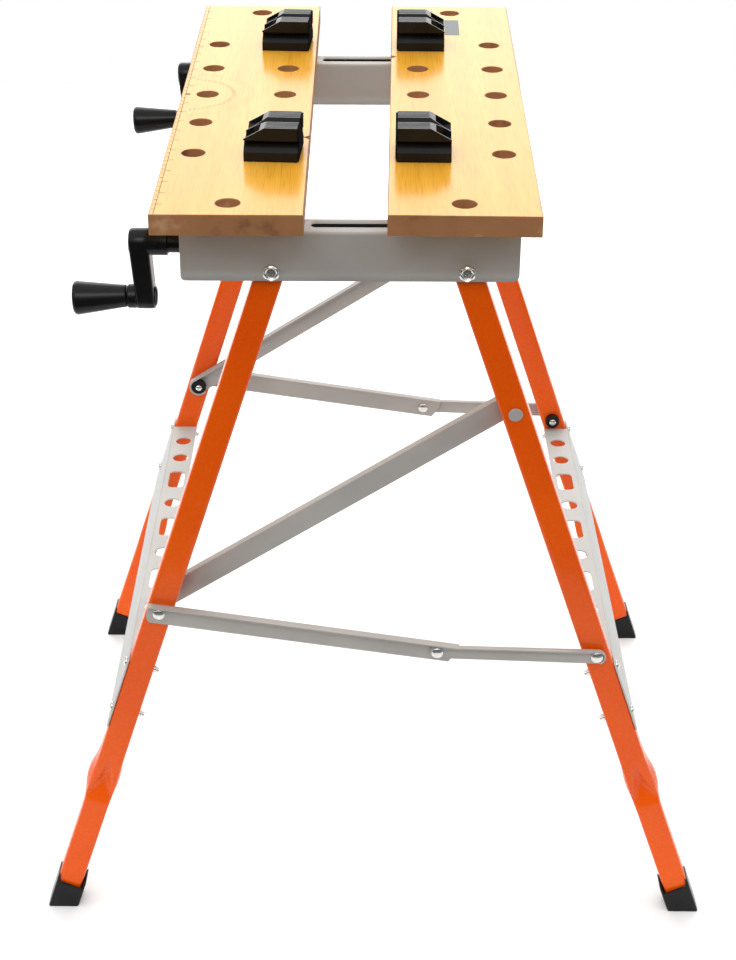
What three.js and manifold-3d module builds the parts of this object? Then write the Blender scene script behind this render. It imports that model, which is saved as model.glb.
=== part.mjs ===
// Folding workbench: two clamping jaws on a pair of rails, carried by two leg frames that fold
// together through a diagonal and an over-centre brace at each end.
// Millimetres, +Z up. X runs across the jaws with the cranks at -X, Y runs along the jaws with the
// near end at -Y, and the floor is Z = 0 under the middle of the bench.
import * as THREE from "three";
import { mergeVertices } from "three/addons/utils/BufferGeometryUtils.js";
import Module from "manifold-3d";

const wasm = await Module();
wasm.setup();

// Jaws
const TOP_HEIGHT = 770;
const JAW_LENGTH = 605;
const JAW_WIDTH = 123.4;
const JAW_THICKNESS = 18;
const FIXED_JAW_X = -114.4;
const MOVING_JAW_X = 77;
const JAW_SKEW_DEG = 1.04;
const DOG_HOLE_DIAMETER = 20;
const DOG_HOLE_PITCH = 80;
const DOG_HOLE_ROWS = 5;
const OUTER_COLUMN_INSET = 24.4;
const INNER_COLUMN_INSET = 26.3;
const END_HOLE_INSET = 26;
const NOTCH_WIDTH = 8;
const NOTCH_DEPTH = 4;
const NOTCH_Y = 119;

// Bench dogs
const DOG_LENGTH = 46;
const DOG_DEPTH = 46;
const DOG_HEIGHT = 30;
const DOG_BASE_HEIGHT = 8.5;
const DOG_GROOVE_DEPTH = 7;
const DOG_GROOVE_HEIGHT = 11.5;
const DOG_TOP_GROOVE_WIDTH = 12;
const DOG_TOP_GROOVE_DEPTH = 6;
const DOG_SLOPE_LENGTH = 18;
const DOG_SLOPE_DROP = 10;
const DOG_POCKET_DEPTH = 9;
const DOG_POCKET_WALL = 2.5;
const DOG_OFFSET = 4;
const DOG_PEG_LENGTH = 15;
const DOG_PEG_CLEARANCE = 0.3;

// Rails
const RAIL_LENGTH = 284;
const RAIL_LEFT_X = -158.2;
const RAIL_WIDTH = 31.6;
const RAIL_HEIGHT = 44;
const RAIL_WALL = 1.5;
const RAIL_OUTER_Y = 246.2;
const RAIL_CORNER_RADIUS = 4;
const RISER_HEIGHT = 20;
const RISER_LENGTH = 44;
const RISER_WIDTH = 26;
const SLOT_LEFT_X = -48.8;
const SLOT_RIGHT_X = 118;
const SLOT_WIDTH = 8;

// Vice screws and cranks
const SCREW_DROP = 15.5;
const SCREW_DIAMETER = 10;
const SCREW_SHANK_DIAMETER = 12.4;
const SCREW_COLLAR_DIAMETER = 18;
const SCREW_COLLAR_LENGTH = 3;
const SCREW_END_INSET = 8;
const BEARING_LENGTH = 11;
const BEARING_DROP = 11;
const NUT_LENGTH = 14;
const NUT_WIDTH = 20;
const NUT_HEIGHT = 14.4;
const STEM_LENGTH = 12;
const STEM_WIDTH = 6;
const CRANK_HUB_X = -202;
const CRANK_HUB_LENGTH = 17;
const CRANK_HUB_DIAMETER = 25.6;
const CRANK_SLEEVE_LENGTH = 15;
const CRANK_SLEEVE_DIAMETER = 20;
const CRANK_SOCKET_DEPTH = 22;
const CRANK_RADIUS = 50;
const CRANK_BOSS_DIAMETER = 23;
const CRANK_NECK_LENGTH = 6;
const GRIP_LENGTH = 46;
const GRIP_SMALL_DIAMETER = 19.4;
const GRIP_LARGE_DIAMETER = 29;
const GRIP_ROUNDING = 3;
const GRIP_PIN_DIAMETER = 8;
const GRIP_PIN_LENGTH = 34;

// Jaw screws
const JAW_SCREW_DIAMETER = 6;
const JAW_SCREW_HEAD_DIAMETER = 12;
const JAW_SCREW_HEAD_HEIGHT = 4;
const JAW_SCREW_BITE = 11;

// Leg frames
const PIVOT_HALF_SPACING = 82;
const PIVOT_ABOVE_RAIL_EDGE = 8.4;
const LEFT_SPLAY_DEG = 17.6;
const RIGHT_SPLAY_DEG = 18.8;
const LEG_WIDTH = 24.3;
const LEG_DEPTH = 20;
const LEG_WALL = 1.5;
const LEG_OUTER_Y = 241.5;
const LEG_END_HEIGHT = 9;
const KICK_HEIGHT = 152;
const KICK_OUT = 5;
const LEG_BOLT_DIAMETER = 8;
const LEG_BOLT_HEAD_ACROSS = 11.4;
const LEG_BOLT_HEAD_HEIGHT = 4.5;
const FOOT_WALL = 2;
const FOOT_FLOOR = 4.5;
const FOOT_SIDE_HEIGHT = 37;
const FOOT_FACE_HEIGHT = 24;

// Steps that tie the two legs of a frame and hold tools
const STEP_DROP = 401.4;
const STEP_SHEET = 1.5;
const STEP_WEB = 82;
const TOOL_HOLE_DIAMETER = 17;
const TOOL_SLOT_LENGTH = 35;
const TOOL_SLOT_RADIUS = 5;
const TOOL_ROUND_HOLES_Y = [-187, -148, -49.5, 49.5, 148, 187];
const TOOL_SLOTS_Y = [-98.5, 0.5, 99.5];

// Folding linkage
const DIAGONAL_ON_LEFT_LEG = 363.6;
const DIAGONAL_ON_RIGHT_LEG = 144.4;
const DIAGONAL_WIDTH = 22;
const DIAGONAL_SHEET = 1.8;
const DIAGONAL_FLANGE = 9;
const BRACE_ON_RIGHT_LEG = 412;
const BRACE_JOINT_X = 66;
const BRACE_JOINT_DROP = 385.9;
const LINK_SHEET = 1.5;
const LINK_FLANGE = 8;
const LINK_END = 10;
const INNER_LINK_ABOVE = 9.6;
const INNER_LINK_BELOW = 7.4;
const INNER_LINK_TAIL = 19;
const OUTER_LINK_ABOVE = 5.2;
const OUTER_LINK_BELOW = 6.4;
const OUTER_LINK_END = 7;
const OUTER_FLANGE_START = 5;
const OUTER_FLANGE_STOP = 8;
const RIVET_DIAMETER = 6;
const RIVET_HEAD_DIAMETER = 12;
const RIVET_HEAD_HEIGHT = 2.2;
const CAP_DIAMETER = 13;
const BUSH_DIAMETER = 16;
const BUSH_LENGTH = 6;

// Fits
const SEAT_GAP = 0.3;
const RUNNING_GAP = 0.4;
const CUT_MARGIN = 5;
const WELD = 1e-4;
const ROUND_SIDES = 20;
const SMALL_ROUND_SIDES = 12;
const CORNER_STEPS = 4;

// Places that follow from the sizes
const DEGREE = Math.PI / 180;
const JAW_UNDERSIDE = TOP_HEIGHT - JAW_THICKNESS;
const RAIL_TOP = JAW_UNDERSIDE - RISER_HEIGHT;
const RAIL_BOTTOM = RAIL_TOP - RAIL_HEIGHT;
const RAIL_RIGHT_X = RAIL_LEFT_X + RAIL_LENGTH;
const RAIL_CENTRE_Y = RAIL_OUTER_Y - RAIL_WIDTH / 2;
const RAIL_INNER_Y = RAIL_OUTER_Y - RAIL_WIDTH;
const SCREW_HEIGHT = RAIL_TOP - SCREW_DROP;
const CRANK_SLEEVE_X = CRANK_HUB_X + CRANK_HUB_LENGTH;
const CRANK_SLEEVE_END_X = CRANK_SLEEVE_X + CRANK_SLEEVE_LENGTH;
const PIVOT_HEIGHT = RAIL_BOTTOM + PIVOT_ABOVE_RAIL_EDGE;
const STEP_HEIGHT = PIVOT_HEIGHT - STEP_DROP;
const LEG_INNER_Y = LEG_OUTER_Y - LEG_DEPTH;
const LEG_CENTRE_Y = LEG_OUTER_Y - LEG_DEPTH / 2;
const SPLAY = { left: LEFT_SPLAY_DEG * DEGREE, right: RIGHT_SPLAY_DEG * DEGREE };
const SIDE_SIGN = { left: -1, right: 1 };
const END_SIGN = { near: -1, far: 1 };

// Materials
const beech = () => new THREE.MeshStandardMaterial({ color: 0xe9c06a, roughness: 0.35 });
const greyPaint = () => new THREE.MeshStandardMaterial({ color: 0x8c8984, roughness: 0.45, metalness: 0.3 });
const orangePaint = () => new THREE.MeshStandardMaterial({ color: 0xd64200, roughness: 0.3 });
const stepPaint = () => new THREE.MeshStandardMaterial({ color: 0xd7dad8, roughness: 0.5, metalness: 0.2 });
const zinc = () => new THREE.MeshStandardMaterial({ color: 0xc9cbcb, roughness: 0.3, metalness: 1 });
const blackPlastic = () => new THREE.MeshStandardMaterial({ color: 0x1b1b1c, roughness: 0.5 });

// Solids from three.js geometry
function solidOf(geometry) {
  const bare = geometry.clone();
  bare.deleteAttribute("normal");
  bare.deleteAttribute("uv");
  const merged = mergeVertices(bare, WELD);
  return new wasm.Manifold(new wasm.Mesh({
    numProp: 3,
    vertProperties: new Float32Array(merged.attributes.position.array),
    triVerts: new Uint32Array(merged.index.array),
  }));
}

function geometryOf(solid) {
  const mesh = solid.getMesh();
  const geometry = new THREE.BufferGeometry();
  geometry.setAttribute("position", new THREE.BufferAttribute(mesh.vertProperties, 3));
  geometry.setIndex(new THREE.BufferAttribute(mesh.triVerts, 1));
  geometry.computeVertexNormals();
  return geometry;
}

const join = (first, ...others) => others.reduce((sum, solid) => sum.add(solid), first);
const cut = (body, ...tools) => tools.reduce((left, tool) => left.subtract(tool), body);

// Outlines are lists of [u, v] points.
function arc(u, v, radius, fromDeg, toDeg, steps) {
  const points = [];
  for (let i = 0; i <= steps; i += 1) {
    const angle = (fromDeg + ((toDeg - fromDeg) * i) / steps) * DEGREE;
    points.push([u + radius * Math.cos(angle), v + radius * Math.sin(angle)]);
  }
  return points;
}

const disc = (u, v, diameter, sides = ROUND_SIDES) => arc(u, v, diameter / 2, 0, 360, sides).slice(0, -1);
const hexagon = (u, v, across) => disc(u, v, across / Math.cos(30 * DEGREE), 6);
const rectangle = (u0, v0, u1, v1) => [[u0, v0], [u1, v0], [u1, v1], [u0, v1]];

function roundedRectangle(u0, v0, u1, v1, radius) {
  return [
    ...arc(u1 - radius, v1 - radius, radius, 0, 90, CORNER_STEPS),
    ...arc(u0 + radius, v1 - radius, radius, 90, 180, CORNER_STEPS),
    ...arc(u0 + radius, v0 + radius, radius, 180, 270, CORNER_STEPS),
    ...arc(u1 - radius, v0 + radius, radius, 270, 360, CORNER_STEPS),
  ];
}

function prism(points, depth) {
  const shape = new THREE.Shape(points.map(([u, v]) => new THREE.Vector2(u, v)));
  return new THREE.ExtrudeGeometry(shape, { depth, bevelEnabled: false });
}

// An outline of [y, z] points carried along X.
function alongX(points, xa, xb) {
  const geometry = prism(points, Math.abs(xb - xa));
  const lengthwise = new THREE.Matrix4().set(
    0, 0, 1, Math.min(xa, xb),
    1, 0, 0, 0,
    0, 1, 0, 0,
    0, 0, 0, 1,
  );
  geometry.applyMatrix4(lengthwise);
  return solidOf(geometry);
}

// An outline of [x, z] points carried along Y.
function alongY(points, ya, yb) {
  const geometry = prism(points, Math.abs(yb - ya));
  geometry.rotateX(Math.PI / 2);
  geometry.translate(0, Math.max(ya, yb), 0);
  return solidOf(geometry);
}

// An outline of [x, y] points carried along Z.
function alongZ(points, za, zb) {
  const geometry = prism(points, Math.abs(zb - za));
  geometry.translate(0, 0, Math.min(za, zb));
  return solidOf(geometry);
}

// A bar through rectangular stations down -Z: each has its distance, half width and shift along Y.
function bar(stations, depth) {
  const position = [];
  const index = [];
  for (const { distance, half, shift } of stations) {
    position.push(-half, shift - depth / 2, -distance, half, shift - depth / 2, -distance);
    position.push(half, shift + depth / 2, -distance, -half, shift + depth / 2, -distance);
  }
  const quad = (a, b, c, d) => index.push(a, b, c, a, c, d);
  const last = (stations.length - 1) * 4;
  quad(0, 1, 2, 3);
  for (let ring = 0; ring < last; ring += 4) {
    for (let k = 0; k < 4; k += 1) {
      const next = (k + 1) % 4;
      quad(ring + k, ring + 4 + k, ring + 4 + next, ring + next);
    }
  }
  quad(last + 3, last + 2, last + 1, last);
  const geometry = new THREE.BufferGeometry();
  geometry.setAttribute("position", new THREE.Float32BufferAttribute(position, 3));
  geometry.setIndex(index);
  return solidOf(geometry);
}

function node(name, solid, material) {
  const mesh = new THREE.Mesh(geometryOf(solid), material);
  mesh.name = name;
  return mesh;
}

// Points on the leg frames, in the plane of the fold: [x, z]
function onLeg(side, distance) {
  const sign = SIDE_SIGN[side];
  return [
    sign * (PIVOT_HALF_SPACING + distance * Math.sin(SPLAY[side])),
    PIVOT_HEIGHT - distance * Math.cos(SPLAY[side]),
  ];
}

const alongLegAtHeight = (side, height) => (PIVOT_HEIGHT - height) / Math.cos(SPLAY[side]);
const legXAtHeight = (side, height) => onLeg(side, alongLegAtHeight(side, height))[0];
const levelHalfWidth = (side) => LEG_WIDTH / 2 / Math.cos(SPLAY[side]);

const LEFT_PIVOT = onLeg("left", DIAGONAL_ON_LEFT_LEG);
const DIAGONAL_TOP = onLeg("right", DIAGONAL_ON_RIGHT_LEG);
const RIGHT_PIVOT = onLeg("right", BRACE_ON_RIGHT_LEG);
const BRACE_JOINT = [BRACE_JOINT_X, PIVOT_HEIGHT - BRACE_JOINT_DROP];

// Jaws. In its own frame a jaw is centred on X and Y, with its clamping edge at +X.
function jawHoles() {
  const outer = -JAW_WIDTH / 2 + OUTER_COLUMN_INSET;
  const inner = JAW_WIDTH / 2 - INNER_COLUMN_INSET;
  const end = JAW_LENGTH / 2 - END_HOLE_INSET;
  const places = [[0, -end], [0, end]];
  for (let row = 0; row < DOG_HOLE_ROWS; row += 1) {
    const y = (row - (DOG_HOLE_ROWS - 1) / 2) * DOG_HOLE_PITCH;
    places.push([outer, y], [inner, y]);
  }
  return places;
}

function jawSolid() {
  const halfWidth = JAW_WIDTH / 2;
  const halfLength = JAW_LENGTH / 2;
  const outline = rectangle(-halfWidth, -halfLength, halfWidth, halfLength);
  const board = alongZ(outline, JAW_UNDERSIDE, TOP_HEIGHT);
  const low = JAW_UNDERSIDE - CUT_MARGIN;
  const high = TOP_HEIGHT + CUT_MARGIN;
  const holes = jawHoles().map(([x, y]) => alongZ(disc(x, y, DOG_HOLE_DIAMETER), low, high));
  const mouth = halfWidth + CUT_MARGIN;
  const flare = (NOTCH_WIDTH / 2) * (1 + CUT_MARGIN / NOTCH_DEPTH);
  const vee = [[halfWidth - NOTCH_DEPTH, -NOTCH_Y], [mouth, -NOTCH_Y - flare], [mouth, -NOTCH_Y + flare]];
  const bite = JAW_SCREW_DIAMETER + 2 * SEAT_GAP;
  const screwHoles = [-RAIL_CENTRE_Y, RAIL_CENTRE_Y].map((y) => (
    alongZ(disc(0, y, bite, SMALL_ROUND_SIDES), low, JAW_UNDERSIDE + JAW_SCREW_BITE + SEAT_GAP)
  ));
  return cut(board, ...holes, alongZ(vee, low, high), ...screwHoles);
}

// A dog in its own frame: its peg on the Z axis, its clamping face at +X, its seat at Z = 0.
function dogSolid() {
  const halfDepth = DOG_DEPTH / 2;
  const grooveMiddle = DOG_BASE_HEIGHT + DOG_GROOVE_HEIGHT / 2;
  const grooveTop = DOG_BASE_HEIGHT + DOG_GROOVE_HEIGHT;
  const half = [
    [halfDepth, 0], [halfDepth, DOG_BASE_HEIGHT], [halfDepth - DOG_GROOVE_DEPTH, grooveMiddle],
    [halfDepth, grooveTop], [halfDepth, DOG_HEIGHT], [DOG_TOP_GROOVE_WIDTH / 2, DOG_HEIGHT],
  ];
  const valley = [0, DOG_HEIGHT - DOG_TOP_GROOVE_DEPTH];
  const mirrored = half.map(([y, z]) => [-y, z]).reverse();
  const back = -DOG_LENGTH / 2 - DOG_OFFSET;
  const face = DOG_LENGTH / 2 - DOG_OFFSET;
  const block = alongX([...half, valley, ...mirrored], back, face);
  const slopeFoot = DOG_HEIGHT - DOG_SLOPE_DROP;
  const slopeEnd = back + DOG_SLOPE_LENGTH;
  const wedge = alongY(
    [
      [back - CUT_MARGIN, slopeFoot], [back, slopeFoot], [slopeEnd, DOG_HEIGHT],
      [slopeEnd, DOG_HEIGHT + CUT_MARGIN], [back - CUT_MARGIN, DOG_HEIGHT + CUT_MARGIN],
    ],
    -halfDepth - CUT_MARGIN,
    halfDepth + CUT_MARGIN,
  );
  const pocketInner = DOG_TOP_GROOVE_WIDTH / 2 + DOG_POCKET_WALL;
  const pocketOuter = halfDepth - DOG_GROOVE_DEPTH - DOG_POCKET_WALL;
  const pockets = [-1, 1].map((sign) => alongX(
    rectangle(sign * pocketInner, slopeFoot - DOG_POCKET_DEPTH, sign * pocketOuter, DOG_HEIGHT + CUT_MARGIN),
    back + DOG_POCKET_WALL,
    slopeEnd - DOG_POCKET_WALL * 2,
  ));
  const pegDiameter = DOG_HOLE_DIAMETER - 2 * DOG_PEG_CLEARANCE;
  const peg = alongZ(disc(0, 0, pegDiameter), -DOG_PEG_LENGTH, DOG_BASE_HEIGHT / 2);
  return join(cut(block, wedge, ...pockets), peg);
}

// One rail: an inverted channel with rounded lower corners, a guide slot and bolt holes.
function railSolid(end) {
  const sign = END_SIGN[end];
  const corner = RAIL_CORNER_RADIUS;
  const outline = [
    [RAIL_LEFT_X, RAIL_TOP],
    ...arc(RAIL_LEFT_X + corner, RAIL_BOTTOM + corner, corner, 180, 270, CORNER_STEPS),
    ...arc(RAIL_RIGHT_X - corner, RAIL_BOTTOM + corner, corner, 270, 360, CORNER_STEPS),
    [RAIL_RIGHT_X, RAIL_TOP],
  ];
  const block = alongY(outline, sign * RAIL_INNER_Y, sign * RAIL_OUTER_Y);
  const hollow = alongX(
    rectangle(
      sign * (RAIL_INNER_Y + RAIL_WALL),
      RAIL_BOTTOM - CUT_MARGIN,
      sign * (RAIL_OUTER_Y - RAIL_WALL),
      RAIL_TOP - RAIL_WALL,
    ),
    RAIL_LEFT_X - CUT_MARGIN,
    RAIL_RIGHT_X + CUT_MARGIN,
  );
  const y = sign * RAIL_CENTRE_Y;
  const slotHalf = SLOT_WIDTH / 2;
  const slot = alongZ(
    roundedRectangle(SLOT_LEFT_X, y - slotHalf, SLOT_RIGHT_X, y + slotHalf, slotHalf - SEAT_GAP),
    RAIL_TOP - RAIL_WALL - CUT_MARGIN / 2,
    RAIL_TOP + CUT_MARGIN,
  );
  const jawScrew = alongZ(
    disc(FIXED_JAW_X, y, JAW_SCREW_DIAMETER + 2 * SEAT_GAP, SMALL_ROUND_SIDES),
    RAIL_TOP - RAIL_WALL - CUT_MARGIN / 2,
    RAIL_TOP + CUT_MARGIN,
  );
  const boltHoles = [-1, 1].map((side) => alongY(
    disc(side * PIVOT_HALF_SPACING, PIVOT_HEIGHT, LEG_BOLT_DIAMETER + 2 * SEAT_GAP),
    sign * (RAIL_INNER_Y - CUT_MARGIN),
    sign * (RAIL_OUTER_Y + CUT_MARGIN),
  ));
  return cut(block, hollow, slot, jawScrew, ...boltHoles);
}

// The block between a rail and a jaw, about x = 0. A sliding one takes its screw head in a counterbore.
function riserSolid(end, sliding) {
  const y = END_SIGN[end] * RAIL_CENTRE_Y;
  const low = RAIL_TOP + SEAT_GAP;
  const high = JAW_UNDERSIDE - SEAT_GAP;
  const block = alongZ(
    roundedRectangle(
      -RISER_LENGTH / 2,
      y - RISER_WIDTH / 2,
      RISER_LENGTH / 2,
      y + RISER_WIDTH / 2,
      RAIL_WALL * 2,
    ),
    low,
    high,
  );
  const shank = JAW_SCREW_DIAMETER + 2 * RUNNING_GAP;
  const head = JAW_SCREW_HEAD_DIAMETER + 2 * RUNNING_GAP;
  const hole = alongZ(disc(0, y, shank, SMALL_ROUND_SIDES), low - CUT_MARGIN, high + CUT_MARGIN);
  const bored = cut(block, hole);
  if (!sliding) {
    return bored;
  }
  const seat = low + SEAT_GAP + JAW_SCREW_HEAD_HEIGHT + SEAT_GAP;
  return cut(bored, alongZ(disc(0, y, head, SMALL_ROUND_SIDES), low - CUT_MARGIN, seat));
}

// A jaw screw about x = 0, from its head up into the jaw.
function jawScrewSolid(end, headTop) {
  const y = END_SIGN[end] * RAIL_CENTRE_Y;
  return join(
    alongZ(disc(0, y, JAW_SCREW_HEAD_DIAMETER, SMALL_ROUND_SIDES), headTop - JAW_SCREW_HEAD_HEIGHT, headTop),
    alongZ(
      disc(0, y, JAW_SCREW_DIAMETER, SMALL_ROUND_SIDES),
      headTop - JAW_SCREW_HEAD_HEIGHT / 2,
      JAW_UNDERSIDE + JAW_SCREW_BITE,
    ),
  );
}

// The nut that carries a sliding block, about x = 0, with its stem up through the guide slot.
function nutSolid(end) {
  const y = END_SIGN[end] * RAIL_CENTRE_Y;
  const halfNut = NUT_HEIGHT / 2;
  const body = alongX(
    roundedRectangle(
      y - NUT_WIDTH / 2,
      SCREW_HEIGHT - halfNut,
      y + NUT_WIDTH / 2,
      SCREW_HEIGHT + halfNut,
      RAIL_WALL,
    ),
    -NUT_LENGTH / 2,
    NUT_LENGTH / 2,
  );
  const stem = alongZ(
    rectangle(-STEM_LENGTH / 2, y - STEM_WIDTH / 2, STEM_LENGTH / 2, y + STEM_WIDTH / 2),
    SCREW_HEIGHT + halfNut - RAIL_WALL,
    RAIL_TOP,
  );
  const bore = alongX(disc(y, SCREW_HEIGHT, SCREW_DIAMETER + 2 * RUNNING_GAP), -NUT_LENGTH, NUT_LENGTH);
  return cut(join(body, stem), bore);
}

// The bearing block that holds a vice screw at the crank end of its rail.
const BEARING_X = RAIL_LEFT_X + SEAT_GAP;

function bearingSolid(end) {
  const y = END_SIGN[end] * RAIL_CENTRE_Y;
  const half = RAIL_WIDTH / 2 - RAIL_WALL - SEAT_GAP;
  const block = alongX(
    rectangle(y - half, SCREW_HEIGHT - BEARING_DROP, y + half, RAIL_TOP - RAIL_WALL - SEAT_GAP),
    BEARING_X,
    BEARING_X + BEARING_LENGTH,
  );
  const bore = disc(y, SCREW_HEIGHT, SCREW_SHANK_DIAMETER + 2 * SEAT_GAP);
  return cut(block, alongX(bore, BEARING_X - CUT_MARGIN, BEARING_X + BEARING_LENGTH + CUT_MARGIN));
}

// A vice screw: shank in the bearing and the crank, thrust collar, then the threaded length.
function screwSolid(end) {
  const y = END_SIGN[end] * RAIL_CENTRE_Y;
  const round = (diameter, xa, xb) => alongX(disc(y, SCREW_HEIGHT, diameter), xa, xb);
  const collar = BEARING_X + BEARING_LENGTH + SEAT_GAP;
  const shankStart = CRANK_SLEEVE_END_X - CRANK_SOCKET_DEPTH + SEAT_GAP;
  return join(
    round(SCREW_SHANK_DIAMETER, shankStart, collar + SCREW_COLLAR_LENGTH),
    round(SCREW_COLLAR_DIAMETER, collar, collar + SCREW_COLLAR_LENGTH),
    round(SCREW_DIAMETER, collar, RAIL_RIGHT_X - SCREW_END_INSET),
  );
}

// A crank: hub and sleeve on the screw, an arm that hangs down, and a boss with the grip's pin.
function crankSolid(end) {
  const y = END_SIGN[end] * RAIL_CENTRE_Y;
  const gripHeight = SCREW_HEIGHT - CRANK_RADIUS;
  const armX = CRANK_HUB_X + SEAT_GAP;
  const armEnd = CRANK_SLEEVE_X - SEAT_GAP;
  const hub = alongX(disc(y, SCREW_HEIGHT, CRANK_HUB_DIAMETER), CRANK_HUB_X, CRANK_SLEEVE_X);
  const sleeve = alongX(disc(y, SCREW_HEIGHT, CRANK_SLEEVE_DIAMETER), armEnd, CRANK_SLEEVE_END_X);
  const arm = alongX(
    [
      ...arc(y, SCREW_HEIGHT, CRANK_HUB_DIAMETER / 2 - SEAT_GAP, 0, 180, ROUND_SIDES / 2),
      ...arc(y, gripHeight, CRANK_BOSS_DIAMETER / 2 - SEAT_GAP, 180, 360, ROUND_SIDES / 2),
    ],
    armX,
    armEnd,
  );
  const boss = alongX(
    disc(y, gripHeight, CRANK_BOSS_DIAMETER),
    CRANK_HUB_X - CRANK_NECK_LENGTH,
    CRANK_SLEEVE_X,
  );
  const pin = alongX(
    disc(y, gripHeight, GRIP_PIN_DIAMETER, SMALL_ROUND_SIDES),
    CRANK_HUB_X - CRANK_NECK_LENGTH - GRIP_PIN_LENGTH,
    CRANK_HUB_X,
  );
  const socket = alongX(
    disc(y, SCREW_HEIGHT, SCREW_SHANK_DIAMETER + 2 * SEAT_GAP),
    CRANK_SLEEVE_END_X - CRANK_SOCKET_DEPTH,
    CRANK_SLEEVE_END_X + CUT_MARGIN,
  );
  return cut(join(hub, sleeve, arm, boss, pin), socket);
}

// A grip: a taper turned about its pin, wider at the free end.
function gripSolid(end) {
  const small = GRIP_SMALL_DIAMETER / 2;
  const large = GRIP_LARGE_DIAMETER / 2;
  const bore = GRIP_PIN_DIAMETER / 2 + SEAT_GAP;
  const boreEnd = GRIP_PIN_LENGTH;
  const profile = [
    [bore, 0], [small, 0],
    ...arc(large - GRIP_ROUNDING, GRIP_LENGTH - GRIP_ROUNDING, GRIP_ROUNDING, 0, 90, CORNER_STEPS),
    [0, GRIP_LENGTH], [0, boreEnd], [bore, boreEnd], [bore, 0],
  ];
  const geometry = new THREE.LatheGeometry(profile.map(([r, h]) => new THREE.Vector2(r, h)), ROUND_SIDES);
  geometry.rotateZ(Math.PI / 2);
  geometry.translate(
    CRANK_HUB_X - CRANK_NECK_LENGTH - SEAT_GAP,
    END_SIGN[end] * RAIL_CENTRE_Y,
    SCREW_HEIGHT - CRANK_RADIUS,
  );
  return solidOf(geometry);
}

// A leg in its own frame: pivot at the origin, the tube running down -Z, kicked outwards at the foot.
function legStations(side, end, inset) {
  const half = LEG_WIDTH / 2 - inset;
  const kickStart = alongLegAtHeight(side, KICK_HEIGHT);
  const floor = alongLegAtHeight(side, 0);
  const tubeEnd = alongLegAtHeight(side, LEG_END_HEIGHT) + (inset > 0 ? CUT_MARGIN : 0);
  const crown = [85, 65, 45, 22.5, 0].map((deg) => ({
    distance: -half * Math.sin(deg * DEGREE),
    half: half * Math.cos(deg * DEGREE),
    shift: 0,
  }));
  const kick = END_SIGN[end] * KICK_OUT * ((tubeEnd - kickStart) / (floor - kickStart));
  return [
    ...crown,
    { distance: kickStart, half, shift: 0 },
    { distance: tubeEnd, half, shift: kick },
  ];
}

function legSolid(side, end) {
  const outer = bar(legStations(side, end, 0), LEG_DEPTH);
  const inner = bar(legStations(side, end, LEG_WALL), LEG_DEPTH - 2 * LEG_WALL);
  const reach = LEG_DEPTH / 2 + CUT_MARGIN;
  const across = (distance, diameter) => alongY(disc(0, -distance, diameter), -reach, reach);
  const rivet = RIVET_DIAMETER + 2 * SEAT_GAP;
  const holes = side === "left"
    ? [across(DIAGONAL_ON_LEFT_LEG, rivet)]
    : [across(DIAGONAL_ON_RIGHT_LEG, rivet), across(BRACE_ON_RIGHT_LEG, rivet)];
  return cut(outer, inner, across(0, LEG_BOLT_DIAMETER + 2 * SEAT_GAP), ...holes);
}

// A moulded foot: a socket round the end of the leg, with a flat sole and lower front and back faces.
function footSolid(side, end) {
  const sign = END_SIGN[end];
  const halfLevel = (margin) => (LEG_WIDTH / 2 + margin) / Math.cos(SPLAY[side]);
  const band = (margin, za, zb) => [
    [legXAtHeight(side, za) - halfLevel(margin), za],
    [legXAtHeight(side, za) + halfLevel(margin), za],
    [legXAtHeight(side, zb) + halfLevel(margin), zb],
    [legXAtHeight(side, zb) - halfLevel(margin), zb],
  ];
  const centre = LEG_CENTRE_Y + KICK_OUT;
  const halfOuter = LEG_DEPTH / 2 + SEAT_GAP + FOOT_WALL;
  const halfSocket = LEG_DEPTH / 2 + KICK_OUT * (FOOT_SIDE_HEIGHT / KICK_HEIGHT) + SEAT_GAP;
  const socketCentre = centre - KICK_OUT * (FOOT_SIDE_HEIGHT / KICK_HEIGHT) / 2;
  const top = FOOT_SIDE_HEIGHT + CUT_MARGIN;
  const shell = alongY(
    band(SEAT_GAP + FOOT_WALL, 0, FOOT_SIDE_HEIGHT),
    sign * (centre - halfOuter),
    sign * (centre + halfOuter),
  );
  const socket = alongY(
    band(SEAT_GAP, FOOT_FLOOR, top),
    sign * (socketCentre - LEG_DEPTH / 2 - (halfSocket - LEG_DEPTH / 2) / 2 - SEAT_GAP),
    sign * (socketCentre + LEG_DEPTH / 2 + (halfSocket - LEG_DEPTH / 2) / 2 + SEAT_GAP),
  );
  const faceCut = alongY(
    band(SEAT_GAP, FOOT_FACE_HEIGHT, top),
    sign * (centre - 2 * halfOuter),
    sign * (centre + 2 * halfOuter),
  );
  return cut(shell, socket, faceCut);
}

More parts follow.
